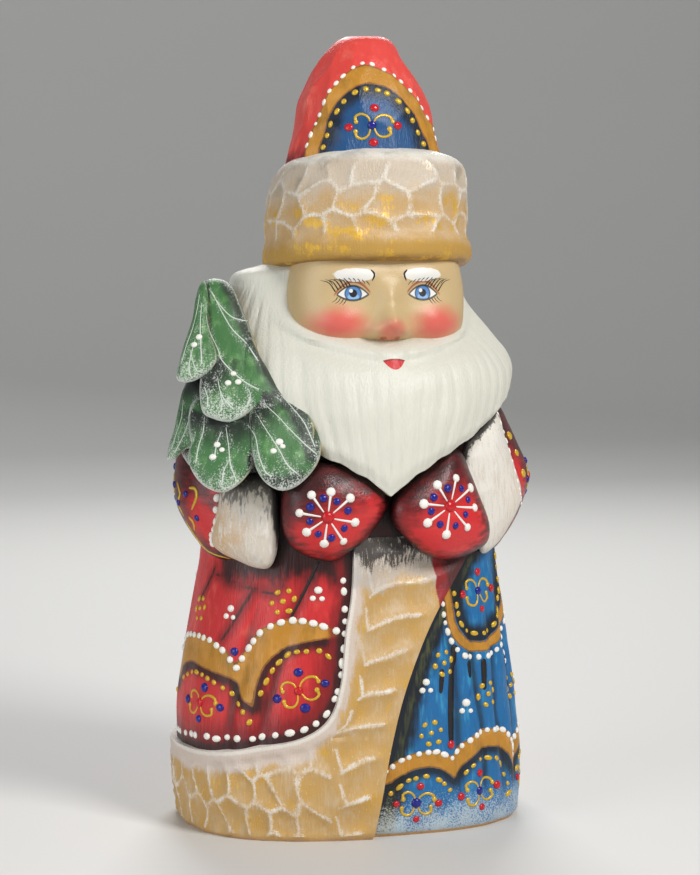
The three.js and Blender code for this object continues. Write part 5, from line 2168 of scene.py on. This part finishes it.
# The four hooks of a scroll, out from the middle, round and back, and its four petals, in shares of its size.
HOOKS = (
    ((0.08, 0.12), (0.35, 0.55), (0.85, 0.78), (1.38, 0.64), (1.52, 0.28)),
    ((-0.08, 0.12), (-0.25, 0.62), (-0.7, 0.86), (-1.15, 0.66), (-1.12, 0.26)),
    ((-0.1, -0.12), (-0.25, -0.72), (-0.65, -1.02), (-1.12, -0.86), (-1.2, -0.46)),
    ((0.1, -0.12), (0.4, -0.72), (0.88, -0.9), (1.32, -0.7), (1.26, -0.3)),
)
PETALS = ((0.3, 1.32), (1.92, -0.02), (-1.68, -0.12), (0.12, -1.32))
# Seven dots of a rosette, and three of a little group.
ROSETTE = ((0, 0.05), (1.1, 0.3), (0.5, 1.15), (-0.65, 0.95), (-1.15, -0.2), (-0.45, -1.1), (0.7, -0.95))
TRIO = ((0, 0.55), (-0.5, -0.3), (0.45, -0.35))


class Flower(Enum):
    """A flower's colours: the pot of its heart, then that of its petals."""

    BLUE_HEART = ("blue", "red")
    RED_HEART = ("red", "blue")


@dataclass(frozen=True)
class Motif:
    """A flower of dots with four hooked scrolls."""

    middle: Pair
    size: float
    flower: Flower = Flower.BLUE_HEART
    lean: float = 0.0
    wide: float = 1.0

    def paint(self, chart: Chart, brushes: Brushes) -> None:
        """Paints it."""
        c, s = math.cos(self.lean), math.sin(self.lean)

        def placed(points: Iterable[Pair]) -> list[Pair]:
            """Chart coordinates of points of the motif."""
            wide = self.size * self.wide
            turned = [(wide * (x * c - y * s), self.size * (x * s + y * c)) for x, y in points]
            return chart.near(self.middle, turned)

        for shape in HOOKS:
            hook = placed(shape)
            brushes.gold.stroke(chart.path(hook, 9), 0.78, (0.5, 1.0), 0.5)
            brushes.gold.dot(chart.spot(*hook[-1]), 0.55)
        heart, petals = (getattr(brushes, pot) for pot in self.flower.value)
        heart.dot(chart.spot(*self.middle), 1.05)
        radius = 0.96 if self.flower is Flower.RED_HEART else 0.84
        for a, b in placed(PETALS):
            petals.dot(chart.spot(a, b), radius, 1.12)


@dataclass(frozen=True)
class CoatPainting:
    """Dots and strokes on the red coat and the blue robe."""

    fur_beads: PaintedLine = PaintedLine((
        ((-11.3, 55), (-10, 46), (-10.2, 39.5), (-10.8, 33.2), (-14.2, 27.8), (-20.8, 24.2), (-31.9, 22.4),
         (-49.4, 21.3), (-72.9, 20.7), (-94, 19.7), (-140, 19.4), (-180, 19.4), (-226, 19.6)),
        ((-226, 19.6), (-236.5, 21.2), (-239, 26), (-238.5, 36), (-236.5, 48), (-234, 58)),
    ))
    coat_gold: PaintedLine = PaintedLine((
        ((-238, 31.8), (-226, 32.8), (-210, 31.2), (-200, 27.6)),
        ((-191, 28.2), (-182, 31.6), (-170, 32.8), (-158, 31.2), (-149, 27.6)),
        ((-141, 28), (-130, 31.2), (-116, 32.6), (-102, 31), (-96, 28)),
        ((-90.5, 31.0), (-81, 33.6), (-68.5, 33.6), (-55.3, 31.4), (-46.1, 27.2), (-42.9, 25.2)),
        ((-40.0, 29.2), (-36.9, 33.9), (-32.9, 37.9), (-26.5, 40.1), (-18.9, 40.4), (-14.8, 39.3)),
    ))
    robe_gold: PaintedLine = PaintedLine((
        ((0.7, 9.6), (5.9, 12.2), (11, 12.6), (15.6, 11.2), (18.6, 8.8)),
        ((23, 10.6), (28, 13.6), (34, 14.8), (40.2, 14.7), (46, 13.0), (50.9, 9.0), (51.6, 6)),
        ((62, 8.4), (68, 12.8), (76, 14.4), (86, 13.6)),
    ))
    bowl_gold: PaintedLine = PaintedLine((
        ((27.6, 51), (28.6, 46.9), (29.8, 44.4), (32.7, 42.7), (36.6, 41.8), (40.7, 41.5), (46.8, 41.9),
         (53.3, 43.4), (58.6, 45.4), (65, 49.6), (68.8, 57)),
    ))
    bowl_white: PaintedLine = PaintedLine((
        ((22.3, 49), (22.6, 45.8), (24.7, 41.4), (28.1, 38.2), (34.9, 36.9), (45.8, 36.9), (54.7, 38.1),
         (62, 40.5), (71, 45.2), (76.5, 53), (79, 61)),
    ))
    rosettes: Path = (
        (-81.5, 47.2), (-33.4, 50.6), (20.0, 36.3), (40.9, 28.5), (13.2, 21.7), (66, 28.5),
        (-118, 49), (-152, 50), (-188, 49), (-220, 50), (-132, 72), (-170, 74), (-208, 72),
    )
    trios: Path = (
        (-58, 47.4), (-20.0, 52.0), (12.4, 31.6), (28.6, 26.3), (62, 35),
        (-100, 52), (-135, 54), (-170, 56), (-204, 54), (-151, 66), (-189, 66), (-151, 84), (-189, 84),
    )
    motifs: tuple[Motif, ...] = (
        Motif((-70.5, 27.8), 2.6, Flower.RED_HEART, -0.05, 1.25),
        Motif((-24.2, 32.0), 2.9, Flower.RED_HEART, 0.3),
        *(Motif(middle, 2.6, Flower.RED_HEART) for middle in ((-118, 27.4), (-170, 27.2), (-220, 27.4))),
        Motif((42.4, 50.9), 3.0, wide=0.95), Motif((6.9, 7.1), 2.7, lean=-0.08),
        Motif((31.5, 8.2), 2.8, lean=0.1), Motif((74, 8.6), 2.6),
    )
    # The white chain stops here, short of the fur's beads.
    chain_end_deg: float = -12.5
    # Black strokes in the folds: the points of each, and its width.
    folds: tuple[tuple[Path, float], ...] = (
        (((-20.6, 59.0), (-23.7, 54.8), (-26.8, 50.8), (-29.6, 47.2)), 0.8),
        (((18.6, 35.0), (18.0, 32.4), (17.5, 30.3)), 1.5), (((26.0, 39.6), (23.0, 32.8), (21.2, 24.5),
         (20.2, 18.6)), 2.4),
        (((32.2, 36.0), (32, 34.4), (31.8, 32.8)), 1.8), (((39.7, 36.0), (39.5, 32.8), (39.2, 29.8)), 1.8),
        (((58, 36), (60, 28), (61, 21)), 0.9), (((74, 40), (77, 31), (79, 23)), 0.9),
    )

    def paint(self, body: CarvedBody, pattern: PaintedPattern, brushes: Brushes) -> None:
        """Paints them.

        Args:
            body: What is painted.
            pattern: The lines between the broad colours.
            brushes: The pots of paint.
        """
        chart = Chart(body, ROBE_RINGS)
        chain = [place for place in pattern.chain.spaced(2.45, 1) if place[0] < self.chain_end_deg]
        brushes.white.row(chart, chain, 0.78, 1.5)
        brushes.white.row(chart, pattern.robe_chain.spaced(2.0, 2), 0.66, 1.6)
        brushes.white.row(chart, self.bowl_white.spaced(2.2, 5), 0.66, 1.4)
        brushes.white.row(chart, self.fur_beads.spaced(2.9, 3, 0.24), 0.74, 1.5)
        for number, line in enumerate((self.coat_gold, self.robe_gold, self.bowl_gold)):
            brushes.gold.row(chart, line.spaced(2.4, 10 + number, 0.2), 0.56, 1.9)
        for middle in self.rosettes:
            scaled = [(2.05 * x, 2.0 * y) for x, y in ROSETTE]
            brushes.gold.row(chart, chart.near(middle, scaled), 0.6, 1.4)
        for middle in self.trios:
            for number, (a, b) in enumerate(chart.near(middle, [(2.0 * x, 2.0 * y) for x, y in TRIO])):
                brushes.white.dot(chart.spot(a, b), (0.85, 0.6, 0.5)[number], 1.15)
        for motif in self.motifs:
            motif.paint(chart, brushes)
        brushes.blue.dot(chart.spot(-52.9, 39.6), 0.95)
        brushes.red.dot(chart.spot(20.1, 18.9), 0.95)
        for points, width in self.folds:
            brushes.black.stroke(chart.path(points, 14), width, (0.8, 0.55), 0.1)


@dataclass(frozen=True)
class HatPainting:
    """Dots and strokes on the hat's front."""

    arch: PaintedLine = PaintedLine((
        ((-61.8, 145.6), (-60.2, 148.6), (-51.8, 154.4), (-38.4, 159.8), (-16.9, 163.6), (4.3, 163.1),
         (21.8, 161.1), (36.6, 157.9), (50.8, 152.9), (61, 147.4)),
    ), HAT_RINGS)
    gold: PaintedLine = PaintedLine((
        ((-45.8, 145.0), (-44.2, 147.8), (-39.4, 151.8), (-29.6, 155.2), (-11.2, 157.7), (8.2, 156.9),
         (20.4, 154.0), (29, 149.8), (35, 145.4)),
    ), HAT_RINGS)
    motif: Motif = Motif((-7.8, 149.4), 3.0)

    def paint(self, body: CarvedBody, brushes: Brushes) -> None:
        """Paints them."""
        chart = Chart(body, HAT_RINGS)
        brushes.white.row(chart, self.arch.spaced(2.5, 21), 0.52, 1.6)
        brushes.gold.row(chart, self.gold.spaced(2.75, 22), 0.62, 1.5)
        self.motif.paint(chart, brushes)


@dataclass(frozen=True)
class MittenStar:
    """A star of eight white spokes with dots between them."""

    middle: Pair
    size: float
    lean: float

    def paint(self, chart: Chart, brushes: Brushes) -> None:
        """Paints it."""
        rng = np.random.default_rng(round(self.size * 10))
        for k in range(8):
            angle = self.lean + k * math.pi / 4 + rng.uniform(-0.08, 0.08)
            reach = self.size * rng.uniform(0.94, 1.08)
            spoke = [(reach * r * math.sin(angle), reach * r * math.cos(angle)) for r in (0.24, 0.6, 0.95)]
            places = chart.near(self.middle, spoke)
            brushes.white.stroke(chart.path(places, 7), 0.72, (0.45, 1.0), 0.5)
            brushes.white.dot(chart.spot(*places[-1]), 1.0)
            angle += math.pi / 8
            gap = [(0.68 * reach * math.sin(angle), 0.68 * reach * math.cos(angle))]
            brushes.blue.dot(chart.spot(*chart.near(self.middle, gap)[0]), 0.86)
        brushes.red.dot(chart.spot(*self.middle), 1.25)


@dataclass(frozen=True)
class ArmPainting:
    """The mittens' stars, the rows of dots along the cuffs and the sleeves' strokes."""

    stars: tuple[MittenStar, ...] = (MittenStar((-4.6, 69.4), 6.0, 0.15), MittenStar((21.1, 70.9), 5.9, 0.2))
    right_row: Path = ((-28.2, 72.2), (-28.6, 67.4), (-29.4, 64.2), (-29.2, 62.2))
    left_row: Path = ((32.0, 89.0), (34.7, 80.7), (36.9, 72.4), (37.6, 68.6))
    sleeve_blue: Path = ((-35.1, 72.6), (-32.6, 67.6), (-36.8, 70.4))
    sleeve_gold: tuple[Path, ...] = (
        ((-34.2, 74.0), (-32.9, 73.9), (-32.6, 72.2), (-33.7, 69.4)),
        ((-37.1, 74.6), (-36.4, 72.4), (-36.9, 70.2), (-35.6, 67.6)),
        ((-34.4, 67.6), (-33.4, 66.4), (-33.2, 64.8)),
        ((-35.2, 66.4), (-33.0, 63.2), (-30.2, 60.2), (-25.6, 58.9)),
    )
    far_gold: Path = ((34.9, 83.6), (36.5, 79.8), (37.9, 75.4))
    # On each sleeve's outer side: where it is seen from, and the flower.
    flowers: tuple[tuple[float, Motif], ...] = (
        (-90.0, Motif((-4.6, 74.0), 2.6, Flower.RED_HEART)),
        (90.0, Motif((-2.8, 74.0), 2.6, Flower.RED_HEART)),
    )

    def paint(self, body: CarvedBody, brushes: Brushes) -> None:
        """Paints them."""
        chart = Chart(body)
        for star in self.stars:
            star.paint(chart, brushes)
        brushes.white.row(chart, open_curve(self.right_row, 6), 0.72, 1.3)
        brushes.white.row(chart, open_curve(self.left_row, 12), 0.42, 1.9)
        for a, b in self.sleeve_blue:
            brushes.blue.dot(chart.spot(a, b), 0.85)
        for line in self.sleeve_gold:
            brushes.gold.stroke(chart.path(line, 9), 0.85, (0.6, 0.5), 0.4)
        for a, b in self.far_gold:
            brushes.gold.dot(chart.spot(a, b), 0.9, 1.3)
        for turn_deg, flower in self.flowers:
            flower.paint(Chart(body, None, math.radians(turn_deg)), brushes)


@dataclass(frozen=True)
class FirPainting:
    """Frost on the fir: fine veins and white dots."""

    # Each vein runs through points of (across, height).
    veins: tuple[Path, ...] = (
        ((-29.8, 116.3), (-27.6, 113.2), (-25.1, 110.7), (-23.0, 109.9), (-21.5, 109.6)),
        ((-29.6, 116.6), (-27.1, 111.8), (-24.7, 108.0), (-21.7, 105.1), (-19.2, 101.6)),
        ((-30.3, 113.6), (-30.1, 110.0), (-29.3, 107.2), (-27.6, 103.8), (-26.8, 101.7), (-23.9, 98.8),
         (-21.3, 96.9), (-19.0, 95.8)),
        ((-31.7, 115.3), (-32.2, 111.8), (-33.0, 108.4), (-34.3, 104.6), (-35.3, 101.0)),
        ((-31.2, 113.4), (-31.4, 108.8), (-31.2, 105.1), (-30.9, 101.0)),
        ((-32.4, 105.9), (-33.2, 103.0), (-33.6, 100.0), (-33.0, 97.9)),
        ((-33.4, 103.8), (-32.6, 100.9), (-31.8, 99.5), (-30.8, 99.8)),
        ((-27.6, 98.2), (-27.0, 95.4), (-26.0, 93.6), (-24.3, 91.8)), ((-27.0, 95.2), (-26.6, 93.0),
         (-26.9, 91.2)),
        ((-30.4, 96.3), (-29.7, 94.4), (-29.6, 92.2)), ((-21.3, 96.0), (-20.7, 94.4), (-21.5, 92.2)),
        ((-32.2, 93.8), (-33.5, 90.8), (-34.2, 87.9), (-35.6, 84.5), (-37.0, 82.0)),
        ((-35.2, 92.9), (-35.6, 89.1), (-36.7, 85.8), (-37.6, 82.8)),
        ((-30.4, 90.0), (-30.6, 87.0), (-31.5, 84.1), (-32.1, 80.6)),
        ((-25.8, 87.9), (-25.2, 84.1), (-24.8, 80.7), (-23.7, 77.6)), ((-26.8, 87.0), (-27.7, 84.5),
         (-28.1, 82.2)),
        ((-24.9, 81.6), (-26.2, 79.0), (-26.4, 76.8)),
        ((-21.2, 88.4), (-19.6, 86.2), (-18.9, 82.8), (-17.6, 79.4), (-16.2, 78.2)),
        ((-19.7, 91.2), (-17.2, 87.4), (-14.7, 83.7), (-13.0, 80.7), (-10.9, 78.8)),
        ((-18.0, 92.9), (-15.1, 90.4), (-12.2, 87.4), (-9.6, 84.9), (-7.0, 82.6)),
        ((-14.4, 94.6), (-12.1, 92.1), (-9.6, 89.1), (-8.0, 85.8), (-7.3, 84.1)),
    )
    dots: tuple[tuple[float, float, float], ...] = (
        (-31.6, 106.5, 0.72), (-32.6, 104.9, 0.6), (-24.3, 99.0, 0.5), (-25.4, 97.1, 0.68),
        (-23.3, 97.3, 0.62), (-27.6, 84.4, 0.7), (-26.6, 83.4, 0.62), (-28.5, 81.9, 0.7),
        (-14.6, 85.2, 0.85), (-15.8, 83.4, 0.6), (-13.9, 84.3, 0.5),
    )

    def paint(self, body: CarvedBody, brushes: Brushes) -> None:
        """Paints it."""
        chart = Chart(body)
        for vein in self.veins:
            brushes.frost.stroke(chart.path(vein, 16), 0.36, (0.35, 0.9), 0.3)
        for a, b, radius in self.dots:
            brushes.white.dot(chart.spot(a, b), radius, 1.15)


@dataclass(frozen=True)
class FacePainting:
    """Lashes, lid lines and the hairs of the brows, the same on both sides."""

    def paint(self, body: CarvedBody, brushes: Brushes) -> None:
        """Paints them."""
        chart = Chart(body, None, 0.0)
        for side in (-1, 1):
            def on_face(points: Iterable[Pair], side: int = side) -> list[Pair]:
                """Coordinates of points given outwards from the middle of an eye."""
                return [(HEAD_X + side * (EYE_X + e), EYE_Z + h) for e, h in points]

            for k in range(6):
                start = 0.6 + 0.62 * k
                rise = 1.85 * (1 - (start / 4.6) ** 2)
                length = 1.7 + 0.24 * k
                bend = (start + 0.45 * length, rise + 0.62 * length)
                lash = ((start, rise), bend, (start + length, rise + 0.8 * length))
                brushes.black.stroke(chart.path(on_face(lash), 7), 0.34, (0.9, 0.2), 0.3)
            for k in range(4):
                start = 1.5 + 0.6 * k
                fall = -1.25 * (1 - (start / 4.4) ** 2)
                lash = ((start, fall), (start + 0.4, fall - 0.6), (start + 0.9 + 0.1 * k, fall - 1.1))
                brushes.black.stroke(chart.path(on_face(lash), 5), 0.24, (0.8, 0.2), 0.3)
            brow = BROW_Z - EYE_Z
            for k in range(9):
                start = -3.4 + 0.95 * k
                low = brow - 0.35 - 0.045 * (start - 0.5) ** 2
                hair = ((start, low - 0.3), (start + 0.35, low + 0.25), (start + 0.75, low + 0.6))
                brushes.black.stroke(chart.path(on_face(hair), 5), 0.24, (0.3, 0.8), 0.3)
            comma = ((-3.9, brow - 0.3), (-4.35, brow + 1.0), (-3.7, brow + 1.9))
            brushes.black.stroke(chart.path(on_face(comma), 7), 0.5, (0.4, 0.6), 0.3)


@dataclass(frozen=True)
class Studio:
    """A pale floor that sweeps up behind, soft lights, and the camera at the photograph's angle."""

    azimuth_deg: float = -15.0
    elevation_deg: float = 5.0
    distance: float = 600.0
    target_z: float = 83.0
    focal: float = 2728.0
    picture_high: float = 875.0
    sensor: float = 24.0
    # The floor: its middle, half its sizes, where it starts to rise behind, and the radius of that sweep.
    floor_middle: float = -900.0
    floor_half: Pair = (3200.0, 2400.0)
    floor_start: float = 700.0
    floor_sweep: float = 420.0
    sky: Colour = (0.8, 0.82, 0.85, 1.0)
    sky_strength: float = 0.32

    def floor(self) -> Form:
        """Lays the floor."""
        bm = bmesh.new()
        bmesh.ops.create_grid(bm, x_segments=2, y_segments=40, size=1.0)
        start, sweep = self.floor_start, self.floor_sweep
        for v in bm.verts:
            along = v.co.y * self.floor_half[1] + self.floor_middle
            over = max(0.0, along - start)
            angle = min(over / sweep, math.pi / 2)
            past = max(0.0, over - sweep * math.pi / 2)
            y = along if along < start else start + sweep * math.sin(angle)
            v.co = (v.co.x * self.floor_half[0], y, sweep * (1 - math.cos(angle)) + past)
        piece = painted(to_object(bm, "floor"), Paint("pale_floor", tone(214, 213, 210)).done(0.6))
        piece.data.shade_smooth()
        return piece

    def lamp(
        self, name: str, at: Sequence[float], size: float, watts: float, colour: Sequence[float]
    ) -> None:
        """Hangs a soft square light that faces the figure's middle.

        Args:
            name: The light's name.
            at: Where it hangs.
            size: The length of its sides.
            watts: Its power.
            colour: Its colour.
        """
        light = bpy.data.lights.new(name, "AREA")
        light.shape = "SQUARE"
        light.size = size * UNIT
        light.energy = watts
        light.color = colour
        lamp = bpy.data.objects.new(name, light)
        place = Vector(at) * UNIT
        middle = Vector((0, 0, 0.5 * UNITS_HIGH * UNIT))
        lamp.location = place
        lamp.rotation_euler = (place - middle).to_track_quat("Z", "Y").to_euler()
        bpy.context.scene.collection.objects.link(lamp)

    def lights(self) -> None:
        """Sets the lights."""
        self.lamp("key", (270, -530, 550), 240, 4.3, (1.0, 0.985, 0.96))
        self.lamp("fill", (-620, -300, 240), 420, 1.7, (0.96, 0.98, 1.0))
        self.lamp("back", (120, 520, 480), 300, 2.4, (1.0, 1.0, 1.0))
        world = bpy.data.worlds.new("studio")
        world.use_nodes = True
        sky = world.node_tree.nodes["Background"]
        sky.inputs["Color"].default_value = self.sky
        sky.inputs["Strength"].default_value = self.sky_strength
        bpy.context.scene.world = world
        bpy.context.scene.view_settings.view_transform = "Standard"

    def camera(self) -> None:
        """Sets the camera."""
        az, el = math.radians(self.azimuth_deg), math.radians(self.elevation_deg)
        back = Vector((math.sin(az) * math.cos(el), -math.cos(az) * math.cos(el), math.sin(el)))
        data = bpy.data.cameras.new("view")
        data.sensor_fit = "VERTICAL"
        data.sensor_height = self.sensor
        data.lens = self.sensor * self.focal / self.picture_high
        data.clip_start = 0.01
        data.clip_end = 20
        camera = bpy.data.objects.new("view", data)
        camera.location = (Vector((0, 0, self.target_z)) + back * self.distance) * UNIT
        camera.rotation_euler = back.to_track_quat("Z", "Y").to_euler()
        bpy.context.scene.collection.objects.link(camera)
        bpy.context.scene.camera = camera

    def build(self) -> None:
        """Sets up the floor, the lights and the camera."""
        self.floor()
        self.lights()
        self.camera()


def main() -> None:
    """Builds the figure and its studio."""
    logging.basicConfig(level=logging.INFO, format="%(name)s: %(message)s")
    finishes = Finishes()
    Studio().build()
    robes, hat = Robes(), Hat()
    forms = robes.build(finishes)
    for part in (HairAndBeard(), Face(), hat, Arms(), FirTree()):
        made = part.build(finishes)
        log.info("%s: %d forms", type(part).__name__, len(made))
        forms += made
    body = CarvedBody(forms, finishes)
    pattern = PaintedPattern()
    body.measure(robes, hat, pattern)
    brushes = Brushes(finishes)
    CoatPainting().paint(body, pattern, brushes)
    for painting in (HatPainting(), ArmPainting(), FirPainting(), FacePainting()):
        painting.paint(body, brushes)
    for piece in [*brushes.place(), body.place()]:
        triangles = sum(len(face.vertices) - 2 for face in piece.data.polygons)
        log.info("%s: %d triangles", piece.name, triangles)


if __name__ == "__main__":
    main()
